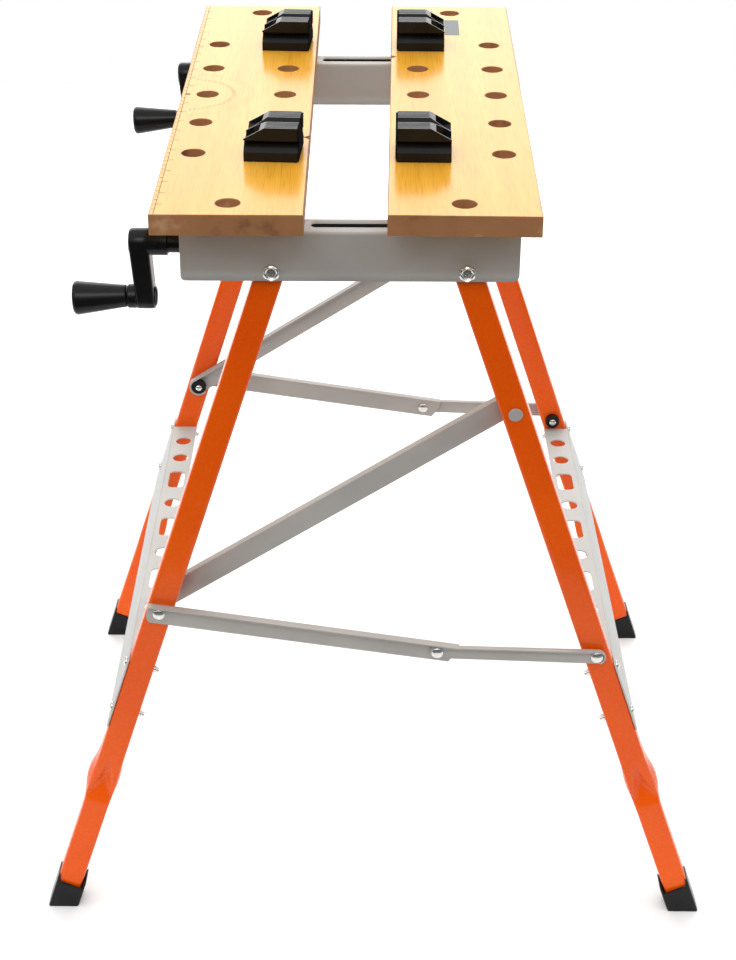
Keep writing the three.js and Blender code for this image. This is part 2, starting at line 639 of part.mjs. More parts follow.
// A step: a level perforated shelf between the legs, folded down into a web on their outer side.
function stepSolid(side) {
  const sign = SIDE_SIGN[side];
  const slope = Math.tan(SPLAY[side]);
  const half = levelHalfWidth(side);
  const legX = legXAtHeight(side, STEP_HEIGHT);
  const webInner = legX + sign * (half + SEAT_GAP);
  const webOuter = webInner + (sign * STEP_SHEET) / Math.cos(SPLAY[side]);
  const drop = STEP_WEB * Math.cos(SPLAY[side]);
  const web = alongY(
    [
      [webInner, STEP_HEIGHT], [webOuter, STEP_HEIGHT],
      [webOuter + sign * slope * drop, STEP_HEIGHT - drop],
      [webInner + sign * slope * drop, STEP_HEIGHT - drop],
    ],
    -LEG_OUTER_Y,
    LEG_OUTER_Y,
  );
  const shelfEnd = LEG_INNER_Y - SEAT_GAP;
  const shelf = alongY(
    rectangle(legX - sign * half, STEP_HEIGHT - STEP_SHEET, webInner + (sign * STEP_SHEET) / 2, STEP_HEIGHT),
    -shelfEnd,
    shelfEnd,
  );
  const low = STEP_HEIGHT - STEP_SHEET - CUT_MARGIN;
  const high = STEP_HEIGHT + CUT_MARGIN;
  const rounds = TOOL_ROUND_HOLES_Y.map((y) => (
    alongZ(disc(legX, y, TOOL_HOLE_DIAMETER, ROUND_SIDES), low, high)
  ));
  const slots = TOOL_SLOTS_Y.map((y) => alongZ(
    roundedRectangle(
      legX - TOOL_HOLE_DIAMETER / 2,
      y - TOOL_SLOT_LENGTH / 2,
      legX + TOOL_HOLE_DIAMETER / 2,
      y + TOOL_SLOT_LENGTH / 2,
      TOOL_SLOT_RADIUS,
    ),
    low,
    high,
  ));
  return join(web, cut(shelf, ...rounds, ...slots));
}

// A round piece on a line along Y through a point of the fold plane.
function roundAlongY(point, diameter, ya, yb, sides = ROUND_SIDES) {
  return alongY(disc(...point, diameter, sides), ya, yb);
}

// A leg bolt: hex head outside the rail, shank through both walls and the leg, nut inside.
function legBoltSolid(side, end) {
  const sign = END_SIGN[end];
  const point = [SIDE_SIGN[side] * PIVOT_HALF_SPACING, PIVOT_HEIGHT];
  const outside = RAIL_OUTER_Y + SEAT_GAP;
  const inside = RAIL_INNER_Y - SEAT_GAP;
  const headEnd = outside + LEG_BOLT_HEAD_HEIGHT;
  const nutEnd = inside - LEG_BOLT_HEAD_HEIGHT;
  return join(
    alongY(hexagon(...point, LEG_BOLT_HEAD_ACROSS), sign * outside, sign * headEnd),
    roundAlongY(point, LEG_BOLT_DIAMETER, sign * (nutEnd + SEAT_GAP), sign * (headEnd - SEAT_GAP)),
    alongY(hexagon(...point, LEG_BOLT_HEAD_ACROSS), sign * inside, sign * nutEnd),
  );
}

// A bar of sheet from one pivot to another with a flange along its upper edge. Along the bar, ends says how
// far the web runs past each pivot and flange where the flange starts and stops; web and lip give the
// distances of its faces and of the flange's edge from the middle of the bench.
function pressedBar({ from, to, above, below, ends, flange, web, lip, holes, sign }) {
  const length = Math.hypot(to[0] - from[0], to[1] - from[1]);
  const angle = Math.atan2(to[1] - from[1], to[0] - from[0]);
  const turn = ([u, v]) => [
    from[0] + u * Math.cos(angle) - v * Math.sin(angle),
    from[1] + u * Math.sin(angle) + v * Math.cos(angle),
  ];
  const sheet = Math.abs(web[1] - web[0]);
  const start = -ends[0];
  const finish = length + ends[1];
  const outline = [
    [start / 2, above], [start, above / 2], [start, -below / 2], [start / 2, -below],
    [length + ends[1] / 2, -below], [finish, -below / 2], [finish, above / 2], [length + ends[1] / 2, above],
  ];
  const strip = rectangle(flange[0], above - sheet, length + flange[1], above);
  const body = join(
    alongY(outline.map(turn), sign * web[0], sign * web[1]),
    alongY(strip.map(turn), sign * web[0], sign * lip),
  );
  const bores = holes.map((point) => (
    roundAlongY(
      point,
      RIVET_DIAMETER + 2 * SEAT_GAP,
      sign * (web[0] - CUT_MARGIN),
      sign * (web[1] + CUT_MARGIN),
    )
  ));
  return cut(body, ...bores);
}

// Layers of the linkage, as distances from the middle of the bench
const DIAGONAL_OUTER_Y = LEG_INNER_Y - SEAT_GAP;
const DIAGONAL_INNER_Y = DIAGONAL_OUTER_Y - DIAGONAL_SHEET;
const INNER_LINK_Y = LEG_OUTER_Y + RUNNING_GAP;
const OUTER_LINK_Y = INNER_LINK_Y + LINK_SHEET + RUNNING_GAP;
const OUTER_LINK_FACE_Y = OUTER_LINK_Y + LINK_SHEET;

const diagonalSolid = (end) => pressedBar({
  from: LEFT_PIVOT,
  to: DIAGONAL_TOP,
  above: DIAGONAL_WIDTH / 2,
  below: DIAGONAL_WIDTH / 2,
  ends: [LINK_END, LINK_END],
  flange: [-LINK_END / 2, LINK_END / 2],
  web: [DIAGONAL_INNER_Y, DIAGONAL_OUTER_Y],
  lip: DIAGONAL_OUTER_Y - DIAGONAL_FLANGE,
  holes: [LEFT_PIVOT],
  sign: END_SIGN[end],
});

const innerLinkSolid = (end) => pressedBar({
  from: LEFT_PIVOT,
  to: BRACE_JOINT,
  above: INNER_LINK_ABOVE,
  below: INNER_LINK_BELOW,
  ends: [LINK_END, INNER_LINK_TAIL],
  flange: [-LINK_END / 2, INNER_LINK_TAIL],
  web: [INNER_LINK_Y, INNER_LINK_Y + LINK_SHEET],
  lip: INNER_LINK_Y + LINK_SHEET + LINK_FLANGE,
  holes: [LEFT_PIVOT, BRACE_JOINT],
  sign: END_SIGN[end],
});

// The outer link lies in front of the inner one, under the end of its flange, which stops the brace.
const outerLinkSolid = (end) => pressedBar({
  from: BRACE_JOINT,
  to: RIGHT_PIVOT,
  above: OUTER_LINK_ABOVE,
  below: OUTER_LINK_BELOW,
  ends: [OUTER_LINK_END, LINK_END],
  flange: [OUTER_FLANGE_START, -OUTER_FLANGE_STOP],
  web: [OUTER_LINK_Y, OUTER_LINK_FACE_Y],
  lip: OUTER_LINK_FACE_Y + LINK_FLANGE,
  holes: [BRACE_JOINT, RIGHT_PIVOT],
  sign: END_SIGN[end],
});

// A rivet with a head at each end; distances are from the middle of the bench, outermost first.
function rivetSolid(point, end, outerFace, innerFace) {
  const sign = END_SIGN[end];
  const outer = outerFace + SEAT_GAP;
  const inner = innerFace - SEAT_GAP;
  const head = RIVET_HEAD_HEIGHT;
  return join(
    roundAlongY(point, RIVET_HEAD_DIAMETER, sign * outer, sign * (outer + head)),
    roundAlongY(
      point,
      RIVET_DIAMETER,
      sign * (outer + head / 2),
      sign * (inner - head / 2),
      SMALL_ROUND_SIDES,
    ),
    roundAlongY(point, RIVET_HEAD_DIAMETER, sign * inner, sign * (inner - head)),
  );
}

function bushSolid(point, end, seat) {
  const sign = END_SIGN[end];
  const face = seat - SEAT_GAP;
  const ring = roundAlongY(point, BUSH_DIAMETER, sign * face, sign * (face - BUSH_LENGTH));
  const bore = RIVET_DIAMETER + 2 * SEAT_GAP;
  const back = face - BUSH_LENGTH;
  return cut(ring, roundAlongY(point, bore, sign * (face + CUT_MARGIN), sign * (back - CUT_MARGIN)));
}

// The cap rivet at the top of a diagonal shows only its flat head, on the leg's outer face.
function capRivetSolid(end) {
  const sign = END_SIGN[end];
  const face = LEG_OUTER_Y + SEAT_GAP;
  return join(
    roundAlongY(DIAGONAL_TOP, CAP_DIAMETER, sign * face, sign * (face + LINK_SHEET)),
    roundAlongY(
      DIAGONAL_TOP,
      RIVET_DIAMETER,
      sign * (face + LINK_SHEET / 2),
      sign * LEG_INNER_Y,
      SMALL_ROUND_SIDES,
    ),
  );
}

// The rivet at the right end of a brace belongs to the outer link and stops short of the leg.
function shortRivetSolid(end) {
  const sign = END_SIGN[end];
  const outer = OUTER_LINK_FACE_Y + SEAT_GAP;
  const shankEnd = LEG_OUTER_Y + RUNNING_GAP;
  const collar = OUTER_LINK_Y - SEAT_GAP;
  return join(
    roundAlongY(RIGHT_PIVOT, RIVET_HEAD_DIAMETER, sign * outer, sign * (outer + RIVET_HEAD_HEIGHT)),
    roundAlongY(
      RIGHT_PIVOT,
      RIVET_DIAMETER,
      sign * (outer + RIVET_HEAD_HEIGHT / 2),
      sign * shankEnd,
      SMALL_ROUND_SIDES,
    ),
    roundAlongY(RIGHT_PIVOT, RIVET_HEAD_DIAMETER, sign * collar, sign * shankEnd),
  );
}

// The bench, put together
const bench = new THREE.Group();
const footReach = LEG_WIDTH / 2 + SEAT_GAP + FOOT_WALL;
const leftFootEdge = legXAtHeight("left", 0) - footReach / Math.cos(SPLAY.left);
const rightFootEdge = legXAtHeight("right", 0) + footReach / Math.cos(SPLAY.right);
bench.position.x = -(leftFootEdge + rightFootEdge) / 2;

const dogColumn = JAW_WIDTH / 2 - INNER_COLUMN_INSET;
const dogRow = DOG_HOLE_PITCH * ((DOG_HOLE_ROWS - 1) / 2);

const fixedJaw = new THREE.Group();
fixedJaw.position.x = FIXED_JAW_X;
fixedJaw.add(node("fixed_jaw", jawSolid(), beech()));

// The moving jaw faces the fixed one and turns about its near jaw screw.
const movingJaw = new THREE.Group();
movingJaw.position.set(MOVING_JAW_X, -RAIL_CENTRE_Y, 0);
movingJaw.rotation.z = -JAW_SKEW_DEG * DEGREE;
const movingBoard = new THREE.Group();
movingBoard.position.y = RAIL_CENTRE_Y;
movingBoard.rotation.z = Math.PI;
movingBoard.add(node("moving_jaw", jawSolid(), beech()));
movingJaw.add(movingBoard);
bench.add(fixedJaw, movingJaw);

const farShift = 2 * RAIL_CENTRE_Y * Math.tan(JAW_SKEW_DEG * DEGREE);

for (const end of ["near", "far"]) {
  const sign = END_SIGN[end];
  const fixedDog = node(`${end}_fixed_dog`, dogSolid(), blackPlastic());
  fixedDog.position.set(dogColumn, sign * dogRow, TOP_HEIGHT + SEAT_GAP);
  fixedJaw.add(fixedDog);
  const movingDog = node(`${end}_moving_dog`, dogSolid(), blackPlastic());
  movingDog.position.set(dogColumn, -sign * dogRow, TOP_HEIGHT + SEAT_GAP);
  movingBoard.add(movingDog);

  bench.add(
    node(`${end}_rail`, railSolid(end), greyPaint()),
    node(`${end}_screw_bearing`, bearingSolid(end), blackPlastic()),
    node(`${end}_vice_screw`, screwSolid(end), zinc()),
    node(`${end}_crank`, crankSolid(end), blackPlastic()),
    node(`${end}_crank_grip`, gripSolid(end), blackPlastic()),
  );

  const fixedSeat = new THREE.Group();
  fixedSeat.position.x = FIXED_JAW_X;
  fixedSeat.add(
    node(`${end}_fixed_riser`, riserSolid(end, false), blackPlastic()),
    node(`${end}_fixed_jaw_screw`, jawScrewSolid(end, RAIL_TOP - RAIL_WALL - SEAT_GAP), zinc()),
  );
  const movingScrewHead = RAIL_TOP + 2 * SEAT_GAP + JAW_SCREW_HEAD_HEIGHT;
  const slidingSeat = new THREE.Group();
  slidingSeat.position.x = MOVING_JAW_X + (end === "far" ? farShift : 0);
  slidingSeat.add(
    node(`${end}_slide_block`, riserSolid(end, true), blackPlastic()),
    node(`${end}_slide_nut`, nutSolid(end), zinc()),
    node(`${end}_moving_jaw_screw`, jawScrewSolid(end, movingScrewHead), zinc()),
  );
  bench.add(fixedSeat, slidingSeat);

  const leftRivetOuter = INNER_LINK_Y + LINK_SHEET;
  const leftRivetInner = DIAGONAL_INNER_Y - SEAT_GAP - BUSH_LENGTH;
  bench.add(
    node(`${end}_diagonal`, diagonalSolid(end), greyPaint()),
    node(`${end}_inner_link`, innerLinkSolid(end), greyPaint()),
    node(`${end}_outer_link`, outerLinkSolid(end), greyPaint()),
    node(`${end}_left_pivot_rivet`, rivetSolid(LEFT_PIVOT, end, leftRivetOuter, leftRivetInner), zinc()),
    node(`${end}_brace_joint_rivet`, rivetSolid(BRACE_JOINT, end, OUTER_LINK_FACE_Y, INNER_LINK_Y), zinc()),
    node(`${end}_right_pivot_rivet`, shortRivetSolid(end), zinc()),
    node(`${end}_left_bush`, bushSolid(LEFT_PIVOT, end, DIAGONAL_INNER_Y), blackPlastic()),
    node(`${end}_right_bush`, bushSolid(RIGHT_PIVOT, end, LEG_INNER_Y), blackPlastic()),
    node(`${end}_diagonal_cap_rivet`, capRivetSolid(end), zinc()),
  );
}

for (const side of ["left", "right"]) {
  const frame = new THREE.Group();
  bench.add(frame);
  frame.add(node(`${side}_step`, stepSolid(side), stepPaint()));
  for (const end of ["near", "far"]) {
    const leg = node(`${end}_${side}_leg`, legSolid(side, end), orangePaint());
    leg.position.set(SIDE_SIGN[side] * PIVOT_HALF_SPACING, END_SIGN[end] * LEG_CENTRE_Y, PIVOT_HEIGHT);
    leg.rotation.y = -SIDE_SIGN[side] * SPLAY[side];
    frame.add(
      leg,
      node(`${end}_${side}_foot`, footSolid(side, end), blackPlastic()),
      node(`${end}_${side}_leg_bolt`, legBoltSolid(side, end), zinc()),
    );
  }
}

export default bench;
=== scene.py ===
# %% [markdown]
# A folding workbench: two clamping boards on steel rails, carried by four folding legs. The engineering
# solids come in as a fixed frame that places every piece. Lengths are in millimetres and become metres when
# a mesh is written; only the stage is set out in metres.

import math

import bmesh
import bpy
import numpy as np
from mathutils import Matrix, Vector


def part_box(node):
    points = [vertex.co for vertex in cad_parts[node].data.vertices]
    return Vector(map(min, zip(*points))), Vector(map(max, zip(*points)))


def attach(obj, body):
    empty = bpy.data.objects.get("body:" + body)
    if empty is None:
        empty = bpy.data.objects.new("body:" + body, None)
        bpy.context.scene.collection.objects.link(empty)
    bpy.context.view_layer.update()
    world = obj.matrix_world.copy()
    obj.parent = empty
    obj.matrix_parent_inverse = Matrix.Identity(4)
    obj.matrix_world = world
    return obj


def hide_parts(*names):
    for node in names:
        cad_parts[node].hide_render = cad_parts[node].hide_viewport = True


MM = 1000.0
JAW_LEFT = -176.1
ENDS = (("near", -1), ("far", 1))
SIDE = {"left": -1, "right": 1}
LEGS = [(side, end, sign) for side in SIDE for end, sign in ENDS]
X_AXIS, Y_AXIS, Z_AXIS = np.eye(3)

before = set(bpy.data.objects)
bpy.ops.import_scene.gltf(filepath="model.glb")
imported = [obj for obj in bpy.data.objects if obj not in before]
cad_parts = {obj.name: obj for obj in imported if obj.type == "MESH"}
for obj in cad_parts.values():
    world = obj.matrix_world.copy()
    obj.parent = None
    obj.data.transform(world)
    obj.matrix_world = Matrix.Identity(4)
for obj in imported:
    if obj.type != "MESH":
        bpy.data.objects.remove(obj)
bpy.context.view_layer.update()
shift_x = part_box("fixed_jaw")[0].x * MM - JAW_LEFT
scene = bpy.context.scene
print("frame loaded, bench X shift", round(shift_x, 3))

# %% [markdown]
# Pieces are made of shells: points and the faces between them. A grid of points with neighbours joined by
# quads draws most shells, turned ones too.

# %% Shells from grids
ASIDE = [0.3, 0.5, 0.81]


def grid(points, closed=True, cap=False):
    """Joins points[i, j] to its neighbours by quads; closed joins the last column to the first, and cap
    fills the first and last row."""
    rows, columns = points.shape[:2]
    number = np.arange(rows * columns).reshape(rows, columns)
    if closed:
        number = np.hstack([number, number[:, :1]])
    corners = [number[:-1, :-1], number[1:, :-1], number[1:, 1:], number[:-1, 1:]]
    faces = np.stack(corners, axis=-1).reshape(-1, 4).tolist()
    if cap:
        first = np.arange(columns)
        faces += [first[::-1].tolist(), (first + (rows - 1) * columns).tolist()]
    return points.reshape(-1, 3), faces


def xyz(*parts):
    """Points from their coordinates, spread to one shape first."""
    return np.stack(np.broadcast_arrays(*parts), axis=-1)


def unit(vector):
    """A vector brought to length one."""
    return vector / np.linalg.norm(vector)


def revolve(profile, origin, axis, steps=40):
    """Turns (radius, height) pairs about an axis: P = origin + h*axis + r*(cos t*b + sin t*c)."""
    profile = np.asarray(profile, float)
    b = unit(np.cross(axis, ASIDE))
    c = np.cross(axis, b)
    t = np.linspace(0, 2 * np.pi, steps, endpoint=False)
    ring = np.cos(t)[:, None] * b + np.sin(t)[:, None] * c
    return grid(origin + profile[:, None, 1:2] * axis + profile[:, None, 0:1] * ring)


def rod(origin, axis, radius, start, stop, steps=24):
    """A plain round bar from start to stop along an axis through a point."""
    return revolve([(0, start), (radius, start), (radius, stop), (0, stop)], origin, axis, steps)


def arc(cx, cy, radius, start, stop, steps=8):
    """Points (cx + r cos t, cy + r sin t) for t from start to stop degrees."""
    t = np.radians(np.linspace(start, stop, steps))
    return xyz(cx + radius * np.cos(t), cy + radius * np.sin(t))


def circle(cx, cy, radius, steps=40):
    """A full circle as one loop of points."""
    return arc(cx, cy, radius, 0, 360, steps + 1)[:-1]


def rounded_outline(half_u, half_v, radius, steps=5):
    """A rectangle's outline with round corners, as one loop of (u, v) points."""
    corners = [(1, 1, 0), (-1, 1, 90), (-1, -1, 180), (1, -1, 270)]
    return np.vstack([
        arc(su * (half_u - radius), sv * (half_v - radius), radius, turn, turn + 90, steps)
        for su, sv, turn in corners
    ])


# %% [markdown]
# The shells become one mesh. Doubled points are merged so seams and poles close, normals turn outwards, and
# edges sharper than a set angle stay crisp. The piece rides on a body, and its finish decides its material
# slot.

# %% Writing a piece
MERGE, FLAT_FACE = 2e-6, 1e-6
BLACK, GREY, ZINC = "black_moulded_plastic", "grey_powder_coat", "zinc_plate"
materials = {}


def linked(name, data):
    """A new object, linked to the scene."""
    made = bpy.data.objects.new(name, data)
    scene.collection.objects.link(made)
    return made


def make_piece(name, shells, finish, body, node=None, sharp=40):
    """Joins shells into one object in metres, shades it by angle and lets it ride on a body."""
    points = np.vstack([shell[0] for shell in shells]) + [shift_x, 0, 0]
    starts = np.cumsum([0] + [len(shell[0]) for shell in shells]).tolist()
    faces = [[index + start for index in face] for start, shell in zip(starts, shells) for face in shell[1]]
    mesh = bpy.data.meshes.new(name)
    mesh.from_pydata((points / MM).tolist(), [], faces)
    work = bmesh.new()
    work.from_mesh(mesh)
    bmesh.ops.remove_doubles(work, verts=work.verts, dist=MERGE)
    bmesh.ops.dissolve_degenerate(work, dist=FLAT_FACE, edges=work.edges)
    bmesh.ops.recalc_face_normals(work, faces=work.faces)
    work.to_mesh(mesh)
    work.free()
    mesh.shade_smooth()
    mesh.set_sharp_from_angle(angle=math.radians(sharp))
    mesh.materials.append(materials[finish])
    piece = linked(name, mesh)
    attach(piece, body)
    if node:
        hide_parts(node)
    return piece


def second_finish(piece, finish, attribute, test):
    """Gives another finish to the faces whose normals or centres pass a test, and counts them."""
    mesh = piece.data
    mesh.materials.append(materials[finish])
    values = np.empty(len(mesh.polygons) * 3, np.float32)
    mesh.polygons.foreach_get(attribute, values)
    chosen = test(values.reshape(-1, 3))
    mesh.polygons.foreach_set("material_index", chosen.astype(np.int32))
    return int(chosen.sum())


# %% [markdown]
# Sheets are flat filled curves, which cut any number of holes cleanly and round their edges at once. The
# curve becomes points and faces, so it can be placed as a shell.

# %% Plates with holes
def plate(outline, holes, thickness, rounding):
    """Fills an outline less its holes, carries it from w = 0 to w = thickness, and rounds its edges."""
    curve = bpy.data.curves.new("plate", "CURVE")
    curve.dimensions = "2D"
    curve.fill_mode = "BOTH"
    curve.extrude = thickness / 2 - rounding
    curve.bevel_depth = rounding
    curve.bevel_resolution = 1
    curve.offset = -rounding
    for loop in [outline, *holes]:
        spline = curve.splines.new("POLY")
        spline.points.add(len(loop) - 1)
        spline.points.foreach_set("co", np.hstack([loop, np.tile([0.0, 1.0], (len(loop), 1))]).ravel())
        spline.use_cyclic_u = True
    holder = linked("plate", curve)
    mesh = bpy.data.meshes.new_from_object(holder.evaluated_get(bpy.context.evaluated_depsgraph_get()))
    points = np.empty(len(mesh.vertices) * 3)
    mesh.vertices.foreach_get("co", points)
    points = points.reshape(-1, 3) + [0, 0, thickness / 2]
    faces = [list(polygon.vertices) for polygon in mesh.polygons]
    bpy.data.objects.remove(holder)
    bpy.data.curves.remove(curve)
    bpy.data.meshes.remove(mesh)
    return points, faces


def carried(shell, origin, u_axis, v_axis, w_axis=Z_AXIS):
    """Places a shell of (u, v, w) points at origin + u*U + v*V + w*W."""
    points, faces = shell
    return origin + points @ np.array([u_axis, v_axis, w_axis], float), faces


# %% [markdown]
# Colours are written as sRGB hex values and turned to linear light by one function, and one small function
# adds a node with its settings and links. The rest make a pattern from the place on a piece and turn it
# into a colour, a level or a relief for the shader.

# %% Finish helpers
SPECULAR = "Specular IOR Level"


def linear(code):
    """sRGB hex to linear RGBA: c/12.92 in the dark, ((c + 0.055)/1.055)^2.4 elsewhere."""
    values = [int(code[i:i + 2], 16) / 255 for i in (0, 2, 4)]
    return [v / 12.92 if v <= 0.04045 else ((v + 0.055) / 1.055) ** 2.4 for v in values] + [1.0]


def add(tree, kind, settings=None, links=None):
    """Adds one node; settings are attributes or input values, links are input name to output socket."""
    made = tree.nodes.new(kind)
    for key, value in (settings or {}).items():
        if isinstance(key, str) and hasattr(made, key):
            setattr(made, key, value)
        else:
            made.inputs[key].default_value = value
    for key, source in (links or {}).items():
        tree.links.new(source, made.inputs[key])
    return made


def empty_tree(holder):
    """Turns on the nodes of a material or world and clears them."""
    holder.use_nodes = True
    holder.node_tree.nodes.clear()
    return holder.node_tree


def new_finish(name):
    """An empty material; gives back its Object coordinates."""
    materials[name] = bpy.data.materials.new(name)
    return add(empty_tree(materials[name]), "ShaderNodeTexCoord").outputs["Object"]


def noise(place, size, detail, **more):
    """A noise pattern whose cells measure so many millimetres."""
    settings = {"Scale": MM / size, "Detail": detail, **more}
    return add(place.id_data, "ShaderNodeTexNoise", settings, {"Vector": place}).outputs["Fac"]


def ramp(pattern, *stops):
    """A pattern as colour, by (position, hex) stops."""
    made = add(pattern.id_data, "ShaderNodeValToRGB", {}, {"Fac": pattern})
    elements = made.color_ramp.elements
    while len(elements) < len(stops):
        elements.new(0.5)
    for element, (position, code) in zip(elements, stops):
        element.position = position
        element.color = linear(code)
    return made.outputs[0]


def spread(pattern, low, high):
    """A pattern as a level between two ends."""
    settings = {"To Min": low, "To Max": high}
    return add(pattern.id_data, "ShaderNodeMapRange", settings, {"Value": pattern}).outputs[0]


def relief(pattern, strength, depth):
    """A pattern as a bump of a depth in millimetres."""
    settings = {"Strength": strength, "Distance": depth / MM}
    return add(pattern.id_data, "ShaderNodeBump", settings, {"Height": pattern}).outputs[0]


def coat(place, settings, colour=None, rough=None, normal=None):
    """The shader with its plain settings and its patterns, led to the output."""
    links = {"Base Color": colour, "Roughness": rough, "Normal": normal}
    links = {socket: source for socket, source in links.items() if source}
    shader = add(place.id_data, "ShaderNodeBsdfPrincipled", settings, links)
    add(place.id_data, "ShaderNodeOutputMaterial", {}, {0: shader.outputs[0]})


# %% [markdown]
# The boards are faced with beech laminate under clear lacquer: a yellow ground, long streaks along the
# board, short dark flecks, the rays of beech, and a low even gloss. Two noises drawn out along the board
# give the streaks and the flecks.

# %% Lacquered beech
BAND_WIDE, BAND_LONG, FLECK_WIDE, FLECK_LONG = 20.0, 500.0, 1.1, 45.0
place = new_finish("lacquered_beech")
tree = place.id_data


def streaks(wide, long, detail, **more):
    """Noise drawn out along the board, with cells so wide in X and so long in Y and Z."""
    stretch = {"Scale": (MM / wide, MM / long, MM / long)}
    return noise(add(tree, "ShaderNodeMapping", stretch, {"Vector": place}).outputs[0], MM, detail, **more)


bands = streaks(BAND_WIDE, BAND_LONG, 2.0, Distortion=0.4)
flecks = streaks(FLECK_WIDE, FLECK_LONG, 3.0, Roughness=0.55)
ground = ramp(bands, (0.3, "eda932"), (0.5, "f2b03b"), (0.7, "f6b847"))
mask = add(tree, "ShaderNodeMapRange", {"From Min": 0.5, "From Max": 0.78, "To Max": 0.75}, {"Value": flecks})
wood = add(tree, "ShaderNodeMix", {"data_type": "RGBA", 7: linear("c98518")}, {0: mask.outputs[0], 6: ground})
coat(place, {"IOR": 1.5, SPECULAR: 0.15, "Coat Weight": 0.39, "Coat Roughness": 0.14},
     wood.outputs[2], spread(bands, 0.22, 0.3), relief(flecks, 0.03, 0.3))

# %% [markdown]
# The boards' edges are fibreboard sealed with brown lacquer, uneven and rubbed in places. Blotches of a few
# centimetres give the tone, and fibres of about a millimetre the rough skin.

# %% Sealed fibreboard
BLOTCH, FIBRE = 35.71, 1.111
place = new_finish("sealed_fibreboard")
blotches = noise(place, BLOTCH, 4.0, Roughness=0.6)
browns = ramp(blotches, (0.3, "7a4c2c"), (0.42, "9c6a3f"), (0.62, "a47146"), (0.72, "bd9066"))
coat(place, {"Roughness": 0.62}, browns, normal=relief(noise(place, FIBRE, 2.0), 0.2, 0.4))

# %% [markdown]
# The legs are orange stove enamel: a hard gloss with a faint orange-peel ripple of about three millimetres
# and slight changes of tone where the coat is thicker.

# %% Orange enamel
ENAMEL_DRIFT, PEEL = 111.1, 3.0
place = new_finish("orange_enamel")
orange = ramp(noise(place, ENAMEL_DRIFT, 3.0), (0.3, "ea5500"), (0.55, "ee5a00"), (0.75, "f26000"))
peel = noise(place, PEEL, 1.0)
coat(place, {"IOR": 1.5, SPECULAR: 0.14, "Coat Weight": 0.26, "Coat Roughness": 0.08},
     orange, spread(peel, 0.22, 0.32), relief(peel, 0.02, 0.4))

# %% [markdown]
# Rails and links are powder-coated in grey and the steps in a paler grey. The powder melts to a fine pebble
# of about a millimetre, and the tone drifts a little. The inside of the rails is coated near-black as painted
# shade, which makes the channel dark and the guide slots black.

# %% Powder coats
COAT_DRIFT, PEBBLE = 71.43, 1.111


def powder_coat(name, dark, middle, light, smooth, matt):
    """A pebbled matt coat: colour from slow noise, relief and roughness from fine noise."""
    place = new_finish(name)
    pebble = noise(place, PEBBLE, 1.5)
    tone = ramp(noise(place, COAT_DRIFT, 3.0), (0.3, dark), (0.55, middle), (0.75, light))
    coat(place, {}, tone, spread(pebble, smooth, matt), relief(pebble, 0.05, 0.3))


powder_coat(GREY, "a5a29d", "aca9a4", "b3b0ab", 0.38, 0.5)
# Near-black painted shade for the inside of the rails, so the channel and the guide slots look dark.
powder_coat("painted_shade_inside", "1d1c1b", "232221", "2a2928", 0.6, 0.75)
powder_coat("pale_powder_coat", "b8b8b5", "bebebb", "c4c4c1", 0.42, 0.55)

# %% [markdown]
# Bolts, rivets and screws are zinc-plated steel: bright, a little cloudy, with faint blue and straw tones.

# %% Zinc plate
CLOUD = 5.556
place = new_finish(ZINC)
cloud = noise(place, CLOUD, 3.0)
coat(place, {"Metallic": 0.92}, ramp(cloud, (0.3, "d2d4d2"), (0.55, "e0e1de"), (0.75, "e8e7de")),
     spread(cloud, 0.16, 0.26))

# %% [markdown]
# Dogs, cranks, grips, feet and bushes are black moulded plastic with a fine spark-eroded texture. The dogs'
# clamping teeth are worn: scuffed, matt and without reflections.

# %% Black moulded plastic
SPARK, SKIN, SCUFF = 0.909, 25.0, 1.4286
place = new_finish(BLACK)
skin = noise(place, SKIN, 3.0)
coat(place, {SPECULAR: 0.2}, ramp(skin, (0.3, "101010"), (0.55, "141414"), (0.75, "1a1a19")),
     spread(skin, 0.2, 0.3), relief(noise(place, SPARK, 2.0), 0.06, 0.3))
place = new_finish("worn_black_plastic")
scuffs = ramp(noise(place, SCUFF, 3.0), (0.45, "0b0b0b"), (0.75, "232322"))
coat(place, {"Roughness": 0.9, SPECULAR: 0.03}, scuffs)

# %% [markdown]
# The scale on the fixed jaw is brown screen ink, soaked in and slightly uneven. The label on the moving jaw
# is dull silver foil, more matt in places.

# %% Print and foil
SOAK, BRUSH = 2.857, 3.333
place = new_finish("brown_screen_ink")
soaked = ramp(noise(place, SOAK, 2.0), (0.35, "4c4430"), (0.7, "655b40"))
coat(place, {"Roughness": 0.5, SPECULAR: 0.15}, soaked)
place = new_finish("silver_foil")
matt = spread(noise(place, BRUSH, 2.0), 0.45, 0.6)
coat(place, {"Base Color": linear("767979"), "Metallic": 0.7}, rough=matt)
print("finishes:", ", ".join(materials))

# %% [markdown]
# The boards are rectangles with a V-notch in the clamping edge and twelve holes: a column near each long
# edge and one hole at each end. A filled curve gives the board with eased edges in one go. The moving jaw
# is the same board turned round, standing a degree askew as in the photograph.

